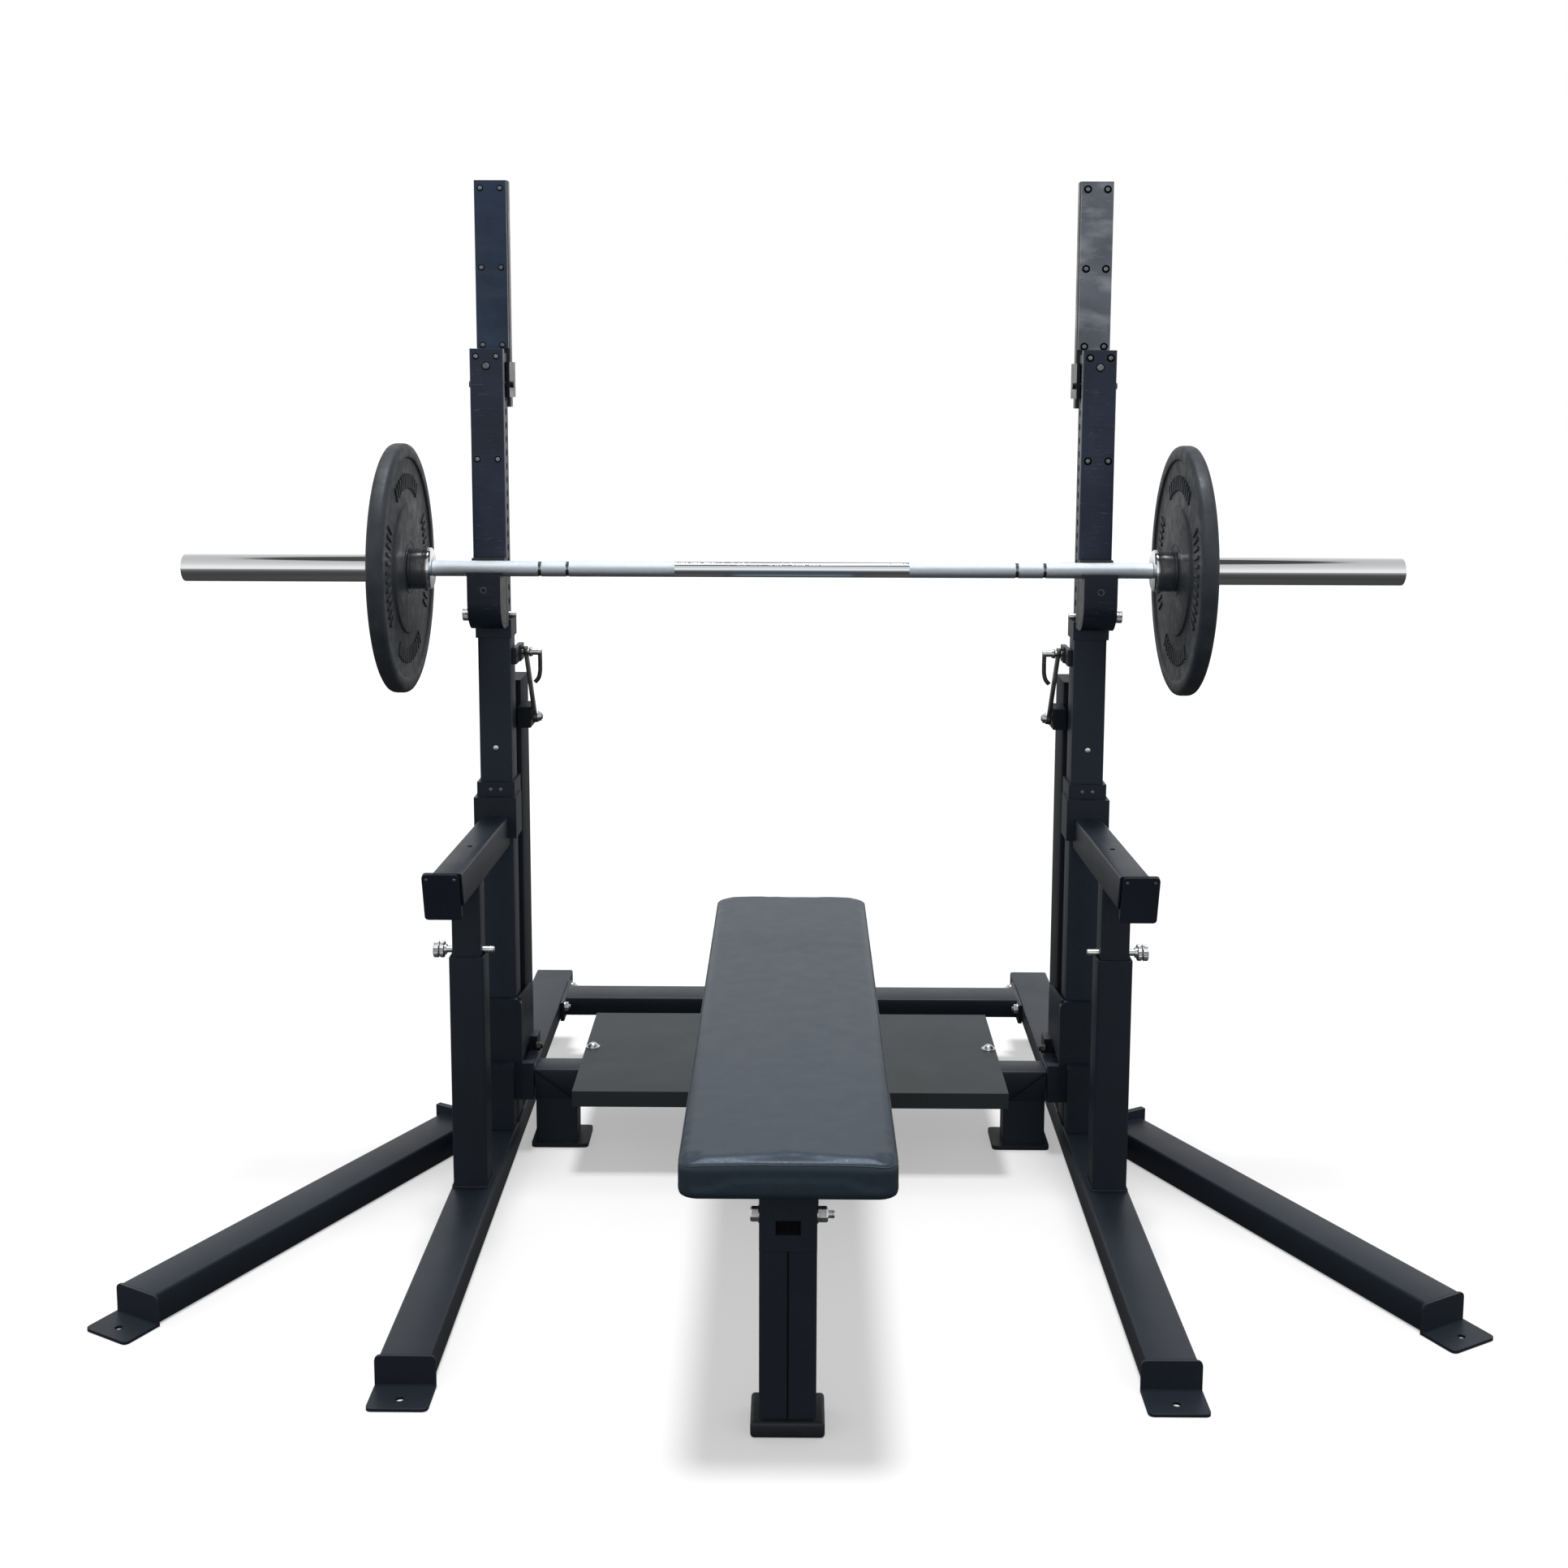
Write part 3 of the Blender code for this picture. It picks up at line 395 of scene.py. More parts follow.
def painted_ply():
    """Black-painted plywood: a soft grain under matt paint."""
    paint = Paint("painted_ply", (0.020, 0.020, 0.021), 0.62)
    grain = paint.noise(60.0, 5.0, paint.stretched((6.0, 0.6, 9.0)))
    paint.colours(paint.mixed(paint.spread(grain, 0.0, 1.0), (0.014, 0.014, 0.015), (0.030, 0.030, 0.031)))
    paint.bump(grain, 0.0002)
    return paint


def matt_rubber():
    paint = Paint("matt_rubber", (0.008, 0.011, 0.015), 0.46, Specular_IOR_Level=0.40)
    paint.roughens(paint.spread(paint.noise(80.0, 4.0), 0.42, 0.58))
    paint.bump(paint.noise(700.0, 2.0), 0.00012)
    return paint


def seam_shadow():
    """The unlit gap in a seam or round a countersunk screw."""
    paint = Paint("seam_shadow", (0.003, 0.003, 0.004), 0.8, Specular_IOR_Level=0.05)
    paint.colours(paint.mixed(paint.noise(300.0, 2.0), (0.002, 0.002, 0.003), (0.005, 0.005, 0.006)))
    return paint


COAT = powder_coat("satin_coat", COAT_COLOUR).done()
STEP_COAT = powder_coat("step_coat", (0.024, 0.030, 0.034), 0.46).done()
COLUMN_COAT = powder_coat("column_coat", (0.009, 0.0125, 0.018), 0.50, 0.10).done()
UPRIGHT_COAT = powder_coat("upright_coat", (0.013, 0.021, 0.036)).done()
CARRIER_COAT = scuffed_coat("carrier_coat", (0.022, 0.034, 0.062), (0.20, 0.23, 0.28)).done()
HOOK_COAT = scuffed_coat("hook_coat", (0.012, 0.017, 0.029), (0.16, 0.18, 0.22)).done()
# The right guide is painted far paler than the left, with more pale patches: partly scuffed wear, partly
# painted reflection of bright light on the right side.
GUIDE_COATS = {
    "left": guide_coat("left", (0.020, 0.040, 0.082), (0.10, 0.13, 0.18), 0.10).done(),
    "right": guide_coat("right", (0.150, 0.170, 0.210), (0.46, 0.48, 0.52), 0.70).done(),
}
MOULDED = moulded_black().done()
ZINC = zinc().done()
DARK_STEEL = dark_steel("dark_steel", (0.085, 0.082, 0.078), (0.026, 0.026, 0.027)).done()
SCREW_STEEL = dark_steel("screw_steel", (0.30, 0.32, 0.35), (0.10, 0.11, 0.13)).done()
CHROME = chrome().done()
KNURLED = knurled_chrome().done()
PLATE_RUBBER = plate_rubber().done()
PAD_VINYL = vinyl("pad_vinyl", (0.005, 0.014, 0.026), 0.40).done()
PIPING_VINYL = vinyl("piping_vinyl", (0.012, 0.020, 0.030), 0.46).done()
PLY = painted_ply().done()
RUBBER = matt_rubber().done()
WELD = powder_coat("weld_paint", (0.014, 0.017, 0.022), 0.34).done()
# Painted shade for unlit gaps: seam lines, countersink rings, mitre lines and the head plate's recess.
SEAM_SHADE = seam_shadow().done()

SLOT_PAINT = {
    "frame_paint": COAT,
    "black_plastic": MOULDED,
    "bright_steel": ZINC,
    "chrome_steel": CHROME,
    "cast_plate": PLATE_RUBBER,
    "pad_vinyl": PAD_VINYL,
    "board_paint": PLY,
    "foot_rubber": RUBBER,
}


# ---------------------------------------------------------------- building

def spans(node):
    """The node's box as (x, y, z) spans."""
    low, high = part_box(node)
    return tuple(zip(low, high))


def within(span, inset):
    """A span drawn in by the same inset at both ends."""
    return span[0] + inset, span[1] - inset


def middle(span):
    return (span[0] + span[1]) / 2


def piece(name, model, paint, body):
    """A finished piece from a bmesh in the model's own place."""
    mesh = bpy.data.meshes.new(name)
    bmesh.ops.recalc_face_normals(model, faces=model.faces)
    model.to_mesh(mesh)
    model.free()
    mesh.materials.append(paint)
    mesh.shade_smooth()
    mesh.set_sharp_from_angle(angle=SHARP)
    return settle(name, mesh, body)


def settle(name, data, body):
    """Puts a finished mesh or curve into the scene, on its body."""
    made = bpy.data.objects.new(name, data)
    bpy.context.scene.collection.objects.link(made)
    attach(made, body)
    return made


def strand(name, radius, resolution, paint):
    """An empty curve that a round strand follows."""
    curve = bpy.data.curves.new(name, "CURVE")
    curve.dimensions = "3D"
    curve.bevel_depth = radius
    curve.bevel_resolution = resolution
    curve.materials.append(paint)
    return curve


def resampled(outline, pitch):
    """Points about a pitch apart round a closed outline."""
    points = []
    for start, end in zip(outline, outline[1:] + outline[:1]):
        count = max(1, round(math.dist(start, end) / pitch))
        points += [tuple(Vector(start).lerp(Vector(end), step / count)) for step in range(count)]
    return points


def facing(place, direction):
    """The frame at a place whose Z runs along the direction."""
    turn = Vector(direction).to_track_quat("Z", "Y").to_matrix().to_4x4()
    return Matrix.Translation(place) @ turn


def lathe(model, profile, steps, placed, flutes=0.0):
    """Adds a turned form: the profile is (radius, height) from one end of the axis to the other."""
    rings = []
    for radius, height in profile:
        if radius == 0.0:
            rings.append([model.verts.new(placed @ Vector((0, 0, height)))])
            continue
        ring = []
        for step in range(steps):
            turn = 2 * math.pi * step / steps
            reach = radius - (flutes if step % 2 else 0.0)
            spot = Vector((reach * math.cos(turn), reach * math.sin(turn), height))
            ring.append(model.verts.new(placed @ spot))
        rings.append(ring)
    for low, high in zip(rings, rings[1:]):
        for step in range(steps):
            after = (step + 1) % steps
            corners = [low[step % len(low)], low[after % len(low)]]
            corners += [high[after % len(high)], high[step % len(high)]]
            kept = [corner for count, corner in enumerate(corners) if corner not in corners[:count]]
            if len(kept) > 2:
                model.faces.new(kept)


def disc(radius, low, high):
    """A plain disc's profile, from low to high along its axis."""
    return [(0.0, low), (radius, low), (radius, high), (0.0, high)]


def drum(radius, low, high, inset, rise):
    """A disc's profile with chamfered rims."""
    rims = [(radius - inset, low), (radius, low + rise), (radius, high - rise), (radius - inset, high)]
    return [(0.0, low), *rims, (0.0, high)]


def outward(side, node):
    """The frame at the node's inner end, facing outwards along X, and the node's length."""
    x, y, z = spans(f"{side}_{node}")
    sign = SIDES[side]
    inner = sign * min(abs(x[0]), abs(x[1]))
    return facing((inner, middle(y), middle(z)), (sign, 0, 0)), x[1] - x[0]


def rounded_block(model, x, y, z, radius, segments=2, placed=None):
    """Adds a block with rounded edges."""
    start = bmesh.ops.create_cube(model, size=1.0)["verts"]
    size = Matrix.Diagonal((x[1] - x[0], y[1] - y[0], z[1] - z[0], 1.0))
    centre = Matrix.Translation((middle(x), middle(y), middle(z)))
    bmesh.ops.transform(model, verts=start, matrix=centre @ size)
    edges = list({edge for vert in start for edge in vert.link_edges})
    made = bmesh.ops.bevel(
        model, geom=edges, offset=radius, segments=segments, profile=0.5, affect="EDGES", clamp_overlap=True
    )
    if placed:
        moved = {vert for face in made["faces"] for vert in face.verts}
        bmesh.ops.transform(model, verts=list(moved), matrix=placed)


def ring_points(x, y, radius, steps=5):
    """A rounded rectangle's outline, corner by corner."""
    points = []
    corners = ((x[1], y[1], 0), (x[0], y[1], 90), (x[0], y[0], 180), (x[1], y[0], 270))
    for right, back, start in corners:
        centre_x = right - math.copysign(radius, right - middle(x))
        centre_y = back - math.copysign(radius, back - middle(y))
        for step in range(steps + 1):
            turn = math.radians(start + 90 * step / steps)
            points.append((centre_x + radius * math.cos(turn), centre_y + radius * math.sin(turn)))
    return points


def square_tube(model, x, y, z):
    """Adds an upright rectangular tube with rolled corners and open ends."""
    outside = ring_points(x, y, CORNER_R)
    inside = ring_points(within(x, WALL), within(y, WALL), CORNER_R - WALL * 0.6)
    loops = []
    for outline, height in ((outside, z[0]), (outside, z[1]), (inside, z[1]), (inside, z[0])):
        loops.append([model.verts.new((*point, height)) for point in outline])
    count = len(loops[0])
    for first, second in zip(loops, loops[1:] + loops[:1]):
        for step in range(count):
            after = (step + 1) % count
            model.faces.new((first[step], first[after], second[after], second[step]))


def smooth_edges(node):
    """Softens a model part's sharp edges without touching its mesh."""
    if "custom_normal" in node.data.attributes:
        node.data.attributes.remove(node.data.attributes["custom_normal"])
    node.data.shade_smooth()
    weld = node.modifiers.new("weld", "WELD")
    weld.merge_threshold = 0.00001
    flat = node.modifiers.new("flat", "DECIMATE")
    flat.decimate_type = "DISSOLVE"
    flat.angle_limit = math.radians(0.5)
    edge = node.modifiers.new("edge", "BEVEL")
    edge.limit_method = "ANGLE"
    edge.angle_limit = math.radians(35)
    edge.width = EDGE_R
    edge.segments = 2
    edge.harden_normals = True


def dress_model():
    """Gives each model part that stays its slot's paint and soft edges."""
    slots = {row["node"]: row["material_slot"] for row in frame["record"]["subparts"]}
    for name, node in frame["nodes"].items():
        node.data.materials.clear()
        node.data.materials.append(SLOT_PAINT[slots[name]])
        smooth_edges(node)
    for side in SIDES:
        own = {
            "hook_carrier": CARRIER_COAT,
            "j_hook": HOOK_COAT,
            "rear_column": COLUMN_COAT,
            "outer_upright": UPRIGHT_COAT,
            "upright_collar": UPRIGHT_COAT,
            "post_extension": GUIDE_COATS[side],
        }
        for name, paint in own.items():
            frame["nodes"][f"{side}_{name}"].data.materials[0] = paint
    frame["nodes"]["step_plate"].data.materials[0] = STEP_COAT


# ---------------------------------------------------------------- barbell

def shaft():
    """The bar's shaft, with its two marks on each side turned as shallow grooves."""
    x, y, z = spans("barbell_shaft")
    radius = (z[1] - z[0]) / 2
    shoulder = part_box("right_sleeve")[0].x - CLEAR
    half = [(SPIGOT_R, x[1]), (SPIGOT_R, shoulder), (radius - 0.0005, shoulder), (radius, shoulder - 0.0005)]
    for mark in sorted(MARK_PLACES, reverse=True):
        inner = MARK_WIDE - 0.0005
        for along, depth in ((MARK_WIDE, 0.0), (inner, MARK_DEEP), (-inner, MARK_DEEP), (-MARK_WIDE, 0.0)):
            half.append((radius - depth, mark + along))
    half = [(0.0, x[1])] + half + [(radius, KNURL_START)]
    profile = half + [(reach, -place) for reach, place in reversed(half)]
    model = bmesh.new()
    lathe(model, profile, BAR_STEPS, facing((0, middle(y), middle(z)), (1, 0, 0)))
    made = piece("bar_shaft", model, KNURLED, "barbell")
    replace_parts(made, "barbell_shaft")


def sleeve(side):
    """A loading sleeve: collar with soft edges, turned shoulder and a capped, grooved end."""
    low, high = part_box(f"{side}_sleeve")
    placed, length = outward(side, "sleeve")
    collar = (high.z - low.z) / 2
    profile = [(0.0, 0.004), (0.0135, 0.004), (0.0145, 0.0), (collar - 0.003, 0.0)]
    profile += [(collar - 0.001, 0.001), (collar, 0.003)]
    profile += [(collar, 0.0045), (collar - 0.0007, 0.0050), (collar - 0.0007, 0.0060), (collar, 0.0065)]
    profile += [(collar, 0.037), (collar - 0.001, 0.039), (collar - 0.003, 0.040), (SLEEVE_R + 0.002, 0.040)]
    profile += [(SLEEVE_R, 0.042), (SLEEVE_R, length - 0.003), (SLEEVE_R - 0.001, length - 0.001)]
    profile += [(SLEEVE_R - 0.003, length), (0.020, length)]
    profile += [(0.0195, length - 0.0012), (0.0175, length - 0.0012)]
    profile += [(0.017, length - 0.0002), (0.006, length - 0.0002)]
    profile += [(0.005, length - 0.003), (0.0, length - 0.003)]
    model = bmesh.new()
    lathe(model, profile, BAR_STEPS, placed)
    made = piece(f"{side}_loading_sleeve", model, CHROME, f"{side}_sleeve_body")
    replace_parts(made, f"{side}_sleeve")


def plate(side):
    """A moulded bumper plate: rounded tread, stepped face, raised disc, steel hub and plain raised ribs."""
    low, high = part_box(f"{side}_plate")
    placed, thick = outward(side, "plate")
    radius = (high.z - low.z) / 2
    face = [(PLATE_BORE_R, 0.0005), (0.0262, 0.0), (0.045, 0.0), (0.0455, 0.0012)]
    face += [(0.048, 0.0012), (0.049, 0.0004)]
    face += [(0.113, 0.0004), (0.1165, 0.0012), (0.1180, 0.0040), (0.1195, 0.0046), (0.1960, 0.0046)]
    face += [(0.1985, 0.0040), (0.2005, 0.0008), (0.2035, 0.0), (0.2160, 0.0)]
    face += [(radius - 0.0055, 0.0008), (radius - 0.0022, 0.0028)]
    face += [(radius - 0.0006, 0.0058), (radius, 0.0092)]
    back = [(reach, thick - depth) for reach, depth in reversed(face)]
    model = bmesh.new()
    lathe(model, face + back + face[:1], PLATE_STEPS, placed)
    for depth in (0.0036, thick - 0.0036):
        plate_ribs(model, placed, depth)
    made = piece(f"{side}_bumper_plate", model, PLATE_RUBBER, f"{side}_plate_body")
    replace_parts(made, f"{side}_plate")


def plate_ribs(model, placed, depth):
    """Four arcs of plain raised ribs on the plate's face."""
    groups, each, step = 4, 12, math.radians(5.5)
    for group in range(groups):
        for count in range(each):
            turn = 2 * math.pi * group / groups + (count - (each - 1) / 2) * step
            around = placed @ Matrix.Rotation(turn, 4, "Z") @ Matrix.Translation((0.158, 0, depth))
            rounded_block(model, (-0.014, 0.014), (-0.0034, 0.0034), (-0.0018, 0.0018), 0.0012, 1, around)


# ---------------------------------------------------------------- posts, hooks and pins

def inner_post(side):
    """The telescoping post, with its row of round pin holes."""
    x, y, z = spans(f"{side}_inner_post")
    model = bmesh.new()
    square_tube(model, x, y, z)
    first = middle(spans(f"{side}_hook_pin")[2])
    made = piece(f"{side}_telescoping_post", model, COAT, f"{side}_post")
    holes = bmesh.new()
    for count in range(PIN_COUNT):
        start = (x[0] - 0.01, middle(y), first + count * PIN_PITCH)
        lathe(holes, disc(PIN_HOLE_R, 0.0, 0.07), 24, facing(start, (1, 0, 0)))
    cut_out(made, holes)
    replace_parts(made, f"{side}_inner_post")


def cut_out(target, model):
    """Cuts a bmesh's closed forms out of a piece, then softens the new edges."""
    mesh = bpy.data.meshes.new("cutter")
    bmesh.ops.recalc_face_normals(model, faces=model.faces)
    model.to_mesh(mesh)
    model.free()
    cutter = bpy.data.objects.new("cutter", mesh)
    bpy.context.scene.collection.objects.link(cutter)
    holes = target.modifiers.new("holes", "BOOLEAN")
    holes.operation = "DIFFERENCE"
    holes.object = cutter
    apply_modifiers(target)
    bpy.data.objects.remove(cutter)
    soft = target.modifiers.new("edge", "BEVEL")
    soft.width = 0.0005
    soft.segments = 2
    soft.limit_method = "ANGLE"
    soft.angle_limit = math.radians(40)
    soft.harden_normals = True


def apply_modifiers(target):
    """Turns a piece's modifiers into its mesh."""
    bpy.context.view_layer.update()
    graph = bpy.context.evaluated_depsgraph_get()
    mesh = bpy.data.meshes.new_from_object(target.evaluated_get(graph))
    target.modifiers.clear()
    target.data = mesh


def screw(name, place, direction, body, radius, height, ring=0.0):
    """A low domed screw with a round socket, in a ring of painted shade for the countersink's unlit gap where
    one is asked for.
    """
    placed = facing(place, direction)
    model = bmesh.new()
    profile = [(0.0, height * 0.25), (radius * 0.42, height * 0.25), (radius * 0.48, height * 0.95)]
    profile += [(radius * 0.60, height), (radius * 0.82, height * 0.82), (radius * 0.97, height * 0.40)]
    profile += [(radius, 0.0), (radius, -0.001), (0.0, -0.001)]
    lathe(model, profile, 28, placed)
    head_faces = len(model.faces)
    # Painted shade: the countersink's ring is near black, standing for the unlit gap round the head.
    if ring:
        sink = [(0.0, 0.0001), (ring - 0.0012, 0.0001), (ring - 0.0004, 0.0006)]
        lathe(model, sink + [(ring, 0.0004), (ring, -0.0005), (0.0, -0.0005)], 36, placed)
        model.faces.ensure_lookup_table()
        for face in model.faces[head_faces:]:
            face.material_index = 1
    made = piece(name, model, SCREW_STEEL, body)
    made.data.materials.append(SEAM_SHADE)
    return made


def hex_bolt(name, place, direction, body, radius, height, paint=ZINC, stud=0.0):
    """A hexagon head or nut with its chamfer, a washer under it and a stud's end beyond it."""
    placed = facing(place, direction)
    base = 0.0015
    model = bmesh.new()
    lathe(model, disc(radius * 1.15, 0.0, base), 32, placed)
    head = [(0.0, base), (radius, base), (radius, height * 0.86), (radius * 0.86, height), (0.0, height)]
    lathe(model, head, 6, placed)
    if stud:
        top = height + stud
        turns = [(radius * 0.52 - 0.0005 * (step % 2), height + stud * step / 12) for step in range(12)]
        lathe(model, [(0.0, height - 0.001), *turns, (radius * 0.45, top), (0.0, top)], 20, placed)
    return piece(name, model, paint, body)


def carrier_screws(side):
    """The countersunk screws of the hook carrier and the guide strip above it."""
    x, y, z = spans(f"{side}_hook_carrier")
    centre = middle(x)
    body = f"{side}_post"
    rows = [(y[0], z[0] + 0.3066, 0.0184), (y[0], z[1] - 0.014, 0.0184)]
    guide = spans(f"{side}_post_extension")
    rows += [(STRIP_Y, guide[2][1] - drop, 0.0180) for drop in GUIDE_SCREW_DROPS]
    # The rings of painted shade round the countersunk screws are drawn wider on the right.
    ring = 0.0058 if side == "left" else 0.0072
    for row, (front, height, out) in enumerate(rows):
        for count, shift in enumerate((-out, out)):
            place = (centre + shift, front, height)
            screw(f"{side}_face_screw_{row}{count}", place, (0, -1, 0), body, 0.0040, 0.0010, ring)
    screw(f"{side}_carrier_bolt", (centre, y[0], z[1] - 0.031), (0, -1, 0), body, 0.0062, 0.0016, 0.0078)
    hook = spans(f"{side}_j_hook")
    ring = bmesh.new()
    outline = [(0.0047, -0.0004), (0.0049, 0.0004), (0.0057, 0.0004), (0.0059, -0.0004), (0.0047, -0.0004)]
    lathe(ring, outline, 32, facing((centre, hook[1][0], hook[2][1] - 0.0325), (0, -1, 0)))
    piece(f"{side}_hook_bolt", ring, SCREW_STEEL, body)
    upright = spans(f"{side}_outer_upright")
    button = bmesh.new()
    around = [math.radians(15 * turn) for turn in range(7)]
    dome = [(BUTTON_R * math.sin(turn), BUTTON_RISE * math.cos(turn)) for turn in around]
    placed = facing((middle(upright[0]), upright[1][0] + BUTTON_RISE + CLEAR, SIGHT_HOLE_Z), (0, -1, 0))
    lathe(button, dome + [(BUTTON_R, -0.002), (0.0, -0.002)], 32, placed)
    piece(f"{side}_sight_button", button, ZINC, "frame")


def hook_pin(side):
    """The locking pin: bullet tip, plain shank, fluted and grooved knob."""
    placed, length = outward(side, "hook_pin")
    head = length - HOOK_KNOB
    neck = [(0.0105, head), (0.0105, head + 0.0080), (0.0, head + 0.0080)]
    model = bmesh.new()
    lathe(model, PIN_TIP + [(PIN_R, head), *neck], 40, placed)
    for start, end in ((0.0006, 0.0058), (0.0074, HOOK_KNOB)):
        lathe(model, drum(0.0125, head + start, head + end, 0.0007, 0.0008), 56, placed, 0.0006)
    made = piece(f"{side}_locking_pin", model, ZINC, f"{side}_hook_pin")
    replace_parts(made, f"{side}_hook_pin")


def front_pin(side):
    """The spotter arm's pin, with a fluted knob."""
    placed, length = outward(side, "front_pin")
    knob = length - FRONT_KNOB
    model = bmesh.new()
    lathe(model, PIN_TIP + [(PIN_R, knob + 0.001), (0.0, knob + 0.001)], 32, placed)
    lathe(model, disc(0.0090, knob, knob + 0.004), 32, placed)
    for start, end in ((0.0035, 0.0115), (0.0130, FRONT_KNOB)):
        lathe(model, drum(0.0145, knob + start, knob + end, 0.0015, 0.0012), 60, placed, 0.0006)
    made = piece(f"{side}_knurled_pin", model, ZINC, f"{side}_front_pin")
    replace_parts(made, f"{side}_front_pin")


def lock(side):
    """The leaning link bar and its pivot bolt, and the sprung detent pin with its bent handle."""
    sign = SIDES[side]
    inboard = (-sign, 0, 0)
    _, y, z = spans(f"{side}_lock_link")
    centre, half = middle(y), (z[1] - z[0]) / 2 - 0.001
    lean = Matrix.Rotation(sign * LINK_LEAN, 4, "Y")
    placed = Matrix.Translation((sign * LINK_X, centre, middle(z))) @ lean
    model = bmesh.new()
    rounded_block(model, (-0.0035, 0.0035), (-0.008, 0.008), (0.010 - half, half - 0.010), 0.0015, 2, placed)
    for height in (0.0095 - half, half - 0.0095):
        eye = Matrix.Translation((-0.004, 0, height)) @ Matrix.Rotation(math.pi / 2, 4, "Y")
        lathe(model, drum(0.0095, 0.0, 0.008, 0.0005, 0.0008), 32, placed @ eye)
    bar = piece(f"{side}_link_bar", model, DARK_STEEL, "frame")
    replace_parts(bar, f"{side}_lock_link")
    bolt = (sign * (LINK_X - 0.0135), centre, z[0] + 0.013)
    hex_bolt(f"{side}_link_bolt", bolt, inboard, "frame", 0.0092, 0.0070, stud=0.002)
    detent(side, inboard, centre, z[1] - 0.012)


def detent(side, inboard, centre, height):
    """The lock's sprung pin, turned along X, and its bent handle."""
    sign = SIDES[side]
    tip = max(abs(end.x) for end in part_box(f"{side}_detent_pin"))
    handle = tip - 0.040
    placed = facing((sign * tip, centre, height), inboard)
    pin = [(0.0, 0.0), (0.003, 0.0), (0.005, 0.002), (0.005, 0.0200), (0.0088, 0.0202), (0.0092, 0.0210)]
    pin += [(0.0092, 0.0245), (0.0078, 0.0252), (0.0078, 0.0270), (0.0062, 0.0275)]
    model = bmesh.new()
    lathe(model, pin + [(0.0062, 0.0425), (0.0050, 0.0435), (0.0, 0.0435)], 32, placed)
    made = piece(f"{side}_detent", model, ZINC, f"{side}_detent")
    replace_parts(made, f"{side}_detent_pin")
    route = ((0.0, 0.003), (-0.0003, -0.012), (-0.0003, -0.025))
    route += ((0.0004, -0.040), (0.0036, -0.051), (0.0098, -0.0585))
    points = [(sign * (handle + out), centre, height + drop) for out, drop in route]
    bent(f"{side}_detent_handle", points, 0.0041, DARK_STEEL, f"{side}_detent")


def bent(name, points, radius, paint, body):
    """A bent rod through the points."""
    curve = strand(name, radius, 4, paint)
    curve.use_fill_caps = True
    line = curve.splines.new("BEZIER")
    line.bezier_points.add(len(points) - 1)
    for knot, place in zip(line.bezier_points, points):
        knot.co = place
        knot.handle_left_type = "AUTO"
        knot.handle_right_type = "AUTO"
    settle(name, curve, body)


# ---------------------------------------------------------------- welds, caps and small fasteners

def weld(name, x, y, height):
    """A rippled fillet round a rectangular tube's foot."""
    spots = resampled(ring_points(within(x, -WELD_R / 2), within(y, -WELD_R / 2), CORNER_R), WELD_PITCH)
    curve = strand(name, WELD_R, 1, WELD)
    line = curve.splines.new("POLY")
    line.points.add(len(spots) - 1)
    for count, (point, spot) in enumerate(zip(line.points, spots)):
        point.co = (*spot, height, 1.0)
        point.radius = 0.82 + 0.18 * math.cos(count * math.pi)
    line.use_cyclic_u = True
    settle(name, curve, "frame")


def end_cap(name, section, place, direction, body):
    """A plastic plug with a raised middle, flush with a tube's open end."""
    model = bmesh.new()
    half_x, half_y = (size / 2 - WALL - CLEAR for size in section)
    core_x, core_y = half_x * 0.55, half_y * 0.55
    placed = facing(place, direction)
    rounded_block(model, (-half_x, half_x), (-half_y, half_y), (-0.012, -0.0012), 0.0012, 2, placed)
    rounded_block(model, (-core_x, core_x), (-core_y, core_y), (-0.004, -0.0004), 0.0006, 1, placed)
    piece(name, model, MOULDED, body)


def side_details(side):
    """Welds, caps and fasteners of one side of the rack."""
    sign = SIDES[side]
    for name in ("outer_upright", "front_post_outer"):
        x, y, z = spans(f"{side}_{name}")
        weld(f"{side}_{name}_weld", x, y, z[0] + 0.001)
    _, y, z = spans(f"{side}_rear_column")
    column_x = sorted(sign * edge for edge in COLUMN_OUT)
    weld(f"{side}_column_weld", column_x, (y[1] - 0.100, y[1]), z[0] + 0.001)
    rail_end = (sign * RAIL_OUT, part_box(f"{side}_base_rail")[1].y, RAIL_SECTION[1] / 2)
    end_cap(f"{side}_rail_cap", RAIL_SECTION, rail_end, (0, 1, 0), "frame")
    _, y, z = spans(f"{side}_step_side_tube")
    step_end = (sign * STEP_TUBE_OUT, y[1], z[1] - FLAT_SECTION[1] / 2)
    end_cap(f"{side}_step_cap", FLAT_SECTION, step_end, (0, 1, 0), "frame")
    x, y, z = spans(f"{side}_inner_post")
    end_cap(f"{side}_post_cap", POST_SECTION, (middle(x), middle(y), z[1]), (0, 0, 1), f"{side}_post")
    _, y, z = spans("step_rear_crossbar")
    for count, (ahead, drop) in enumerate(((0.015, 0.0125), (0.135, 0.0105))):
        place = (sign * FLANGE_OUT, y[0] + ahead, z[1] - drop)
        hex_bolt(f"{side}_crossbar_bolt_{count}", place, (-sign, 0, 0), "frame", 0.0095, 0.008, stud=0.004)
    out, ahead, up = BRACKET_NUT
    nut = (sign * out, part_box(f"{side}_upright_bracket")[0].y + ahead, up)
    hex_bolt(f"{side}_bracket_nut", nut, (-sign, 0, 0), "frame", 0.0085, 0.008, DARK_STEEL, stud=0.004)
    x, y, _ = spans(f"{side}_front_post_outer")
    outside = (sign * max(abs(x[0]), abs(x[1])), middle(y), POST_SCREW_Z)
    screw(f"{side}_post_screw", outside, (sign, 0, 0), "frame", 0.0085, 0.004)
    arm_details(side)


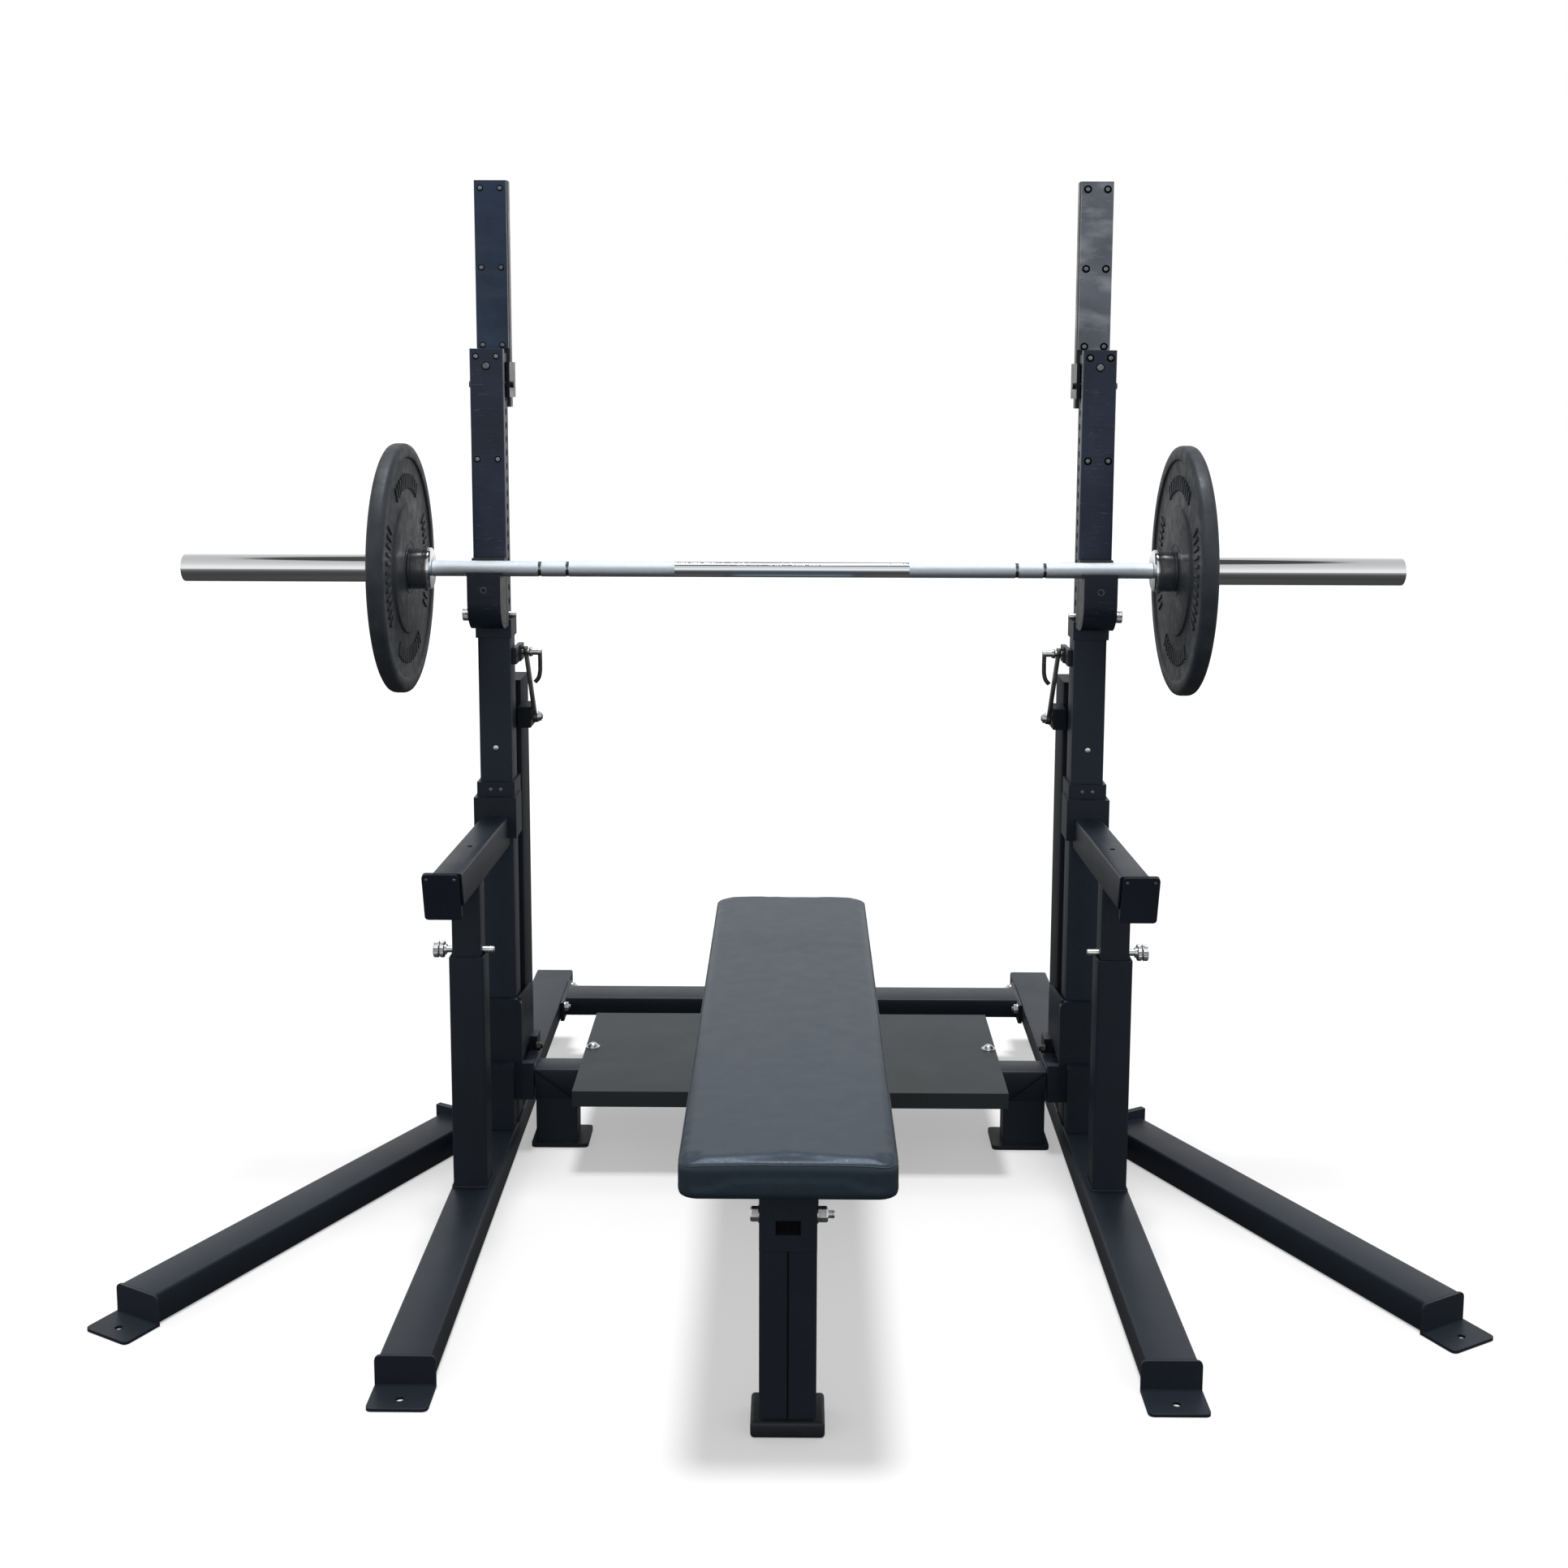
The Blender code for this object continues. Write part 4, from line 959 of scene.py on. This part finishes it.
def arm_details(side):
    """Screws at the end plate's top corners and on the arm's sleeve."""
    sign = SIDES[side]
    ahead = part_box(f"{side}_spotter_arm")[0].y
    front = Vector((0, -math.cos(END_PLATE_LEAN), -math.sin(END_PLATE_LEAN)))
    down = Vector((0, math.sin(END_PLATE_LEAN), -math.cos(END_PLATE_LEAN)))
    for count, out in enumerate((0.553, 0.599)):
        spot = Vector((sign * out, ahead, END_PLATE_TOP)) + down * 0.009
        screw(f"{side}_plate_screw_{count}", spot, front, f"{side}_arm", 0.0026, 0.0010)
    sleeve_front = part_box(f"{side}_outer_upright")[0].y - 0.007
    for count, out in enumerate((0.5425, 0.5615)):
        place = (sign * out, sleeve_front, ARM_SCREW_Z)
        screw(f"{side}_sleeve_screw_{count}", place, (0, -1, 0), f"{side}_arm", 0.0035, 0.0016)


def step_details():
    """Dome bolts through the step plate, and the mitre lines at the front frame's corners, drawn as thin
    strands of painted seam shade.
    """
    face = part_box("step_front_frame")[0].y - 0.0001
    for side, sign in SIDES.items():
        mitre = [(sign * out, face, up) for out, up in MITRE]
        # Painted shade: each mitre line is a thin near-black strand.
        bent(f"{side}_mitre", mitre, 0.0009, SEAM_SHADE, "frame")
    _, y, z = spans("step_plate")
    around = [math.radians(15 * turn) for turn in range(6)]
    dome = [(DOME_R * math.sin(turn), DOME_R * 0.9 * math.cos(turn)) for turn in around]
    for count, sign in enumerate(SIDES.values()):
        model = bmesh.new()
        placed = facing((sign * STEP_BOLT_OUT, y[0] + 0.225, z[1]), (0, 0, 1))
        lathe(model, disc(0.0135, 0.0, 0.0014), 36, placed)
        lathe(model, dome + [(DOME_R, 0.0014), (0.0, 0.0014)], 36, placed)
        piece(f"step_bolt_{count}", model, ZINC, "frame")


# ---------------------------------------------------------------- bench

def slab(model, x, y, z, corner, edge):
    """Adds an upholstered slab: round corners in plan and rolled bottom and top edges."""
    loops = []
    steps = 5
    for roll, centre, start in ((edge[0], z[0] + edge[0], -90), (edge[1], z[1] - edge[1], 0)):
        for step in range(steps + 1):
            turn = math.radians(start + 90 * step / steps)
            inset = roll - roll * math.cos(turn)
            height = centre + roll * math.sin(turn)
            outline = ring_points(within(x, inset), within(y, inset), corner - inset * 0.5, 8)
            loops.append([model.verts.new((*point, height)) for point in outline])
    for first, second in zip(loops, loops[1:]):
        for step in range(len(first)):
            after = (step + 1) % len(first)
            model.faces.new((first[step], first[after], second[after], second[step]))
    model.faces.new(list(reversed(loops[0])))
    model.faces.new(loops[-1])


def crown(across):
    """How far the pad's rounded top has dropped at this distance from its middle line."""
    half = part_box("bench_pad")[1].x
    return PAD_CROWN * abs(across / half) ** 3


def swell(pad, floor):
    """Inflates the cover as cloth held at the board, then keeps each point near where it began."""
    grid = pad.modifiers.new("grid", "REMESH")
    grid.mode = "VOXEL"
    grid.voxel_size = PAD_GRID
    apply_modifiers(pad)
    start = [point.co.copy() for point in pad.data.vertices]
    held = pad.vertex_groups.new(name="held")
    low = [point.index for point in pad.data.vertices if point.co.z < floor + 0.004]
    held.add(low, 1.0, "REPLACE")
    cloth = pad.modifiers.new("cloth", "CLOTH")
    cloth.settings.quality = 4
    cloth.settings.mass = 0.6
    cloth.settings.tension_stiffness = 30
    cloth.settings.compression_stiffness = 30
    cloth.settings.bending_stiffness = 8
    cloth.settings.use_pressure = True
    cloth.settings.uniform_pressure_force = 4
    cloth.settings.vertex_group_mass = "held"
    cloth.settings.effector_weights.gravity = 0
    cloth.collision_settings.use_collision = False
    scene = bpy.context.scene
    for count in range(1, CLOTH_FRAMES + 1):
        scene.frame_set(count)
    apply_modifiers(pad)
    scene.frame_set(1)
    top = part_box("bench_pad")[1].z
    for point, before in zip(pad.data.vertices, start):
        moved = point.co - before
        moved.x = min(max(moved.x, -SIDE_SWELL), SIDE_SWELL)
        moved.y = min(max(moved.y, -SIDE_SWELL), SIDE_SWELL)
        moved.z = min(max(moved.z, -0.0005), TOP_SWELL)
        point.co = before + moved
        pinch = max(0.0, 1.0 - abs(before.z - top + SEAM_DROP) / 0.005)
        sideways = Vector((point.normal.x, point.normal.y, 0.0))
        point.co -= sideways * pinch * 0.0008
        point.co.z -= crown(before.x) * (before.z - floor) / (top - floor)
    fine = pad.modifiers.new("fine", "SUBSURF")
    fine.levels = 1
    fine.render_levels = 1


def cushion():
    """The bench pad on its board: foam under vinyl, with a sewn welt round its top edge."""
    x, y, z = spans("bench_pad")
    board_x, board_y, board_z = spans("pad_board")
    under = bmesh.new()
    rounded_block(under, within(board_x, 0.010), within(board_y, 0.010), board_z, 0.001)
    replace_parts(piece("underboard", under, PLY, "frame"), "pad_board")
    base = board_z[0] + 0.0004
    sides = within(x, PAD_INSET), within(y, PAD_INSET)
    model = bmesh.new()
    slab(model, *sides, (base, z[1] - PAD_RISE), PAD_CORNER, (0.004, 0.0075))
    pad = piece("upholstered_pad", model, PAD_VINYL, "frame")
    swell(pad, base)
    pad.data.materials.clear()
    pad.data.materials.append(PAD_VINYL)
    pad.data.shade_smooth()
    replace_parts(pad, "bench_pad")
    outline = ring_points(within(x, WELT_INSET), within(y, WELT_INSET), PAD_CORNER, 8)
    welt("pad_welt", outline, z[1] - SEAM_DROP, 0.0010)


def welt(name, outline, height, radius):
    """A sewn edge, whose stitches pull it slightly up and down."""
    curve = strand(name, radius, 3, PIPING_VINYL)
    line = curve.splines.new("POLY")
    spots = resampled(outline, WELT_PITCH)
    line.points.add(len(spots) - 1)
    for count, (point, spot) in enumerate(zip(line.points, spots)):
        wave = 0.00025 * math.sin(0.9 * count) + 0.00025 * math.sin(0.31 * count)
        point.co = (*spot, height + wave - crown(spot[0]), 1.0)
    line.use_cyclic_u = True
    settle(name, curve, "frame")


def bench_details():
    """The bench's foot, cross bolt, caps, welds, and painted shade in the seam and recess of its head plate.
    """
    foot_x, foot_y, foot_z = spans("bench_foot")
    model = bmesh.new()
    rounded_block(model, foot_x, foot_y, foot_z, 0.0055, 4)
    foot = piece("rubber_foot", model, RUBBER, "frame")
    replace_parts(foot, "bench_foot")
    leg_x, leg_y, leg_z = spans("bench_front_leg")
    _, bolt_y, bolt_z = spans("bench_bolt")
    place = (middle(bolt_y), middle(bolt_z))
    head = hex_bolt("bench_bolt_head", (leg_x[0] - CLEAR, *place), (-1, 0, 0), "frame", 0.0105, 0.0125)
    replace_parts(head, "bench_bolt")
    hex_bolt("bench_bolt_nut", (leg_x[1] + CLEAR, *place), (1, 0, 0), "frame", 0.0110, 0.0150, stud=0.009)
    _, spine_y, spine_z = spans("bench_spine")
    for count, (end, way) in enumerate(((spine_y[0], -1), (spine_y[1], 1))):
        end_cap(f"spine_cap_{count}", FLAT_SECTION, (0, end, middle(spine_z)), (0, way, 0), "frame")
    weld("front_leg_weld", leg_x, (leg_y[1] - 0.060, leg_y[1]), leg_z[1] - 0.001)
    _, rear_y, rear_z = spans("bench_rear_leg")
    weld("rear_leg_weld", (-0.040, 0.040), within(rear_y, 0.010), rear_z[1] - 0.001)
    # Painted shade: a thin near-black line in the head plate's seam and a near-black block in its recess.
    seam = bmesh.new()
    front = leg_y[0] + HEAD_THICK
    line_z = (foot_z[1] - 0.004, HEAD_BOTTOM)
    rounded_block(seam, (-0.0013, 0.0013), (front - 0.0003, front + 0.0006), line_z, 0.0002, 1)
    rounded_block(seam, (-0.0170, 0.0170), (front - 0.0010, front + 0.0004), RECESS_Z, 0.0003, 1)
    piece("leg_seam_shade", seam, SEAM_SHADE, "frame")


# ---------------------------------------------------------------- studio

def floor():
    """A pale sweep that catches shadows. Reflections don't see it: they show a dark ground."""
    model = bmesh.new()
    bmesh.ops.create_circle(model, cap_ends=True, radius=60.0, segments=96)
    mesh = bpy.data.meshes.new("floor")
    model.to_mesh(mesh)
    model.free()
    glow = {"Emission_Color": (1, 1, 1, 1), "Emission_Strength": 0.36}
    paint = Paint("studio_floor", (0.55, 0.55, 0.55), 0.9, **glow)
    clouds = paint.spread(paint.noise(1.3, 2.0), 0.0, 1.0)
    paint.colours(paint.mixed(clouds, (0.54, 0.54, 0.545), (0.57, 0.57, 0.57)))
    mesh.materials.append(paint.done())
    made = bpy.data.objects.new("floor", mesh)
    made.location.z = -0.0005
    made.visible_glossy = False
    made.visible_diffuse = False
    bpy.context.scene.collection.objects.link(made)


def sky():
    """White walls, a ceiling with one dark gap, and a dark ground that only reflections see."""
    world = bpy.data.worlds.new("studio")
    world.use_nodes = True
    nodes, links = world.node_tree.nodes, world.node_tree.links
    heading = nodes.new("ShaderNodeTexCoord")
    axes = nodes.new("ShaderNodeSeparateXYZ")
    height = nodes.new("ShaderNodeMath")
    height.operation = "MULTIPLY_ADD"
    height.inputs[1].default_value = 0.5
    height.inputs[2].default_value = 0.5
    ramp = nodes.new("ShaderNodeValToRGB")
    while len(ramp.color_ramp.elements) < len(SKY):
        ramp.color_ramp.elements.new(0.5)
    for element, (degrees, bright) in zip(ramp.color_ramp.elements, SKY):
        element.position = 0.5 + 0.5 * math.sin(math.radians(degrees))
        element.color = (bright, bright, bright, 1.0)
    links.new(heading.outputs["Generated"], axes.inputs["Vector"])
    links.new(axes.outputs["Z"], height.inputs[0])
    links.new(height.outputs["Value"], ramp.inputs["Fac"])
    links.new(ramp.outputs["Color"], nodes["Background"].inputs["Color"])
    bpy.context.scene.world = world
    bpy.context.scene.view_settings.view_transform = "Standard"


def sun():
    """Soft light from straight above, which puts the bench's shadow under it."""
    data = bpy.data.lights.new("overhead", "SUN")
    data.energy = SUN_POWER
    data.angle = math.radians(11)
    made = bpy.data.objects.new("overhead", data)
    made.rotation_euler = (math.radians(-2.0), 0.0, 0.0)
    bpy.context.scene.collection.objects.link(made)


def camera():
    data = bpy.data.cameras.new("camera")
    data.sensor_width = 36.0
    data.lens = CAMERA_LENS
    data.shift_y = CAMERA_SHIFT
    made = bpy.data.objects.new("camera", data)
    turn = Matrix.Rotation(CAMERA_YAW, 4, "Z") @ Matrix.Rotation(math.pi / 2 - CAMERA_PITCH, 4, "X")
    made.matrix_world = Matrix.Translation(CAMERA_PLACE) @ turn @ Matrix.Rotation(CAMERA_ROLL, 4, "Z")
    bpy.context.scene.collection.objects.link(made)
    bpy.context.scene.camera = made


camera()
sky()
sun()
floor()
dress_model()
shaft()
for side in SIDES:
    sleeve(side)
    plate(side)
    inner_post(side)
    carrier_screws(side)
    hook_pin(side)
    front_pin(side)
    lock(side)
    side_details(side)
step_details()
cushion()
bench_details()
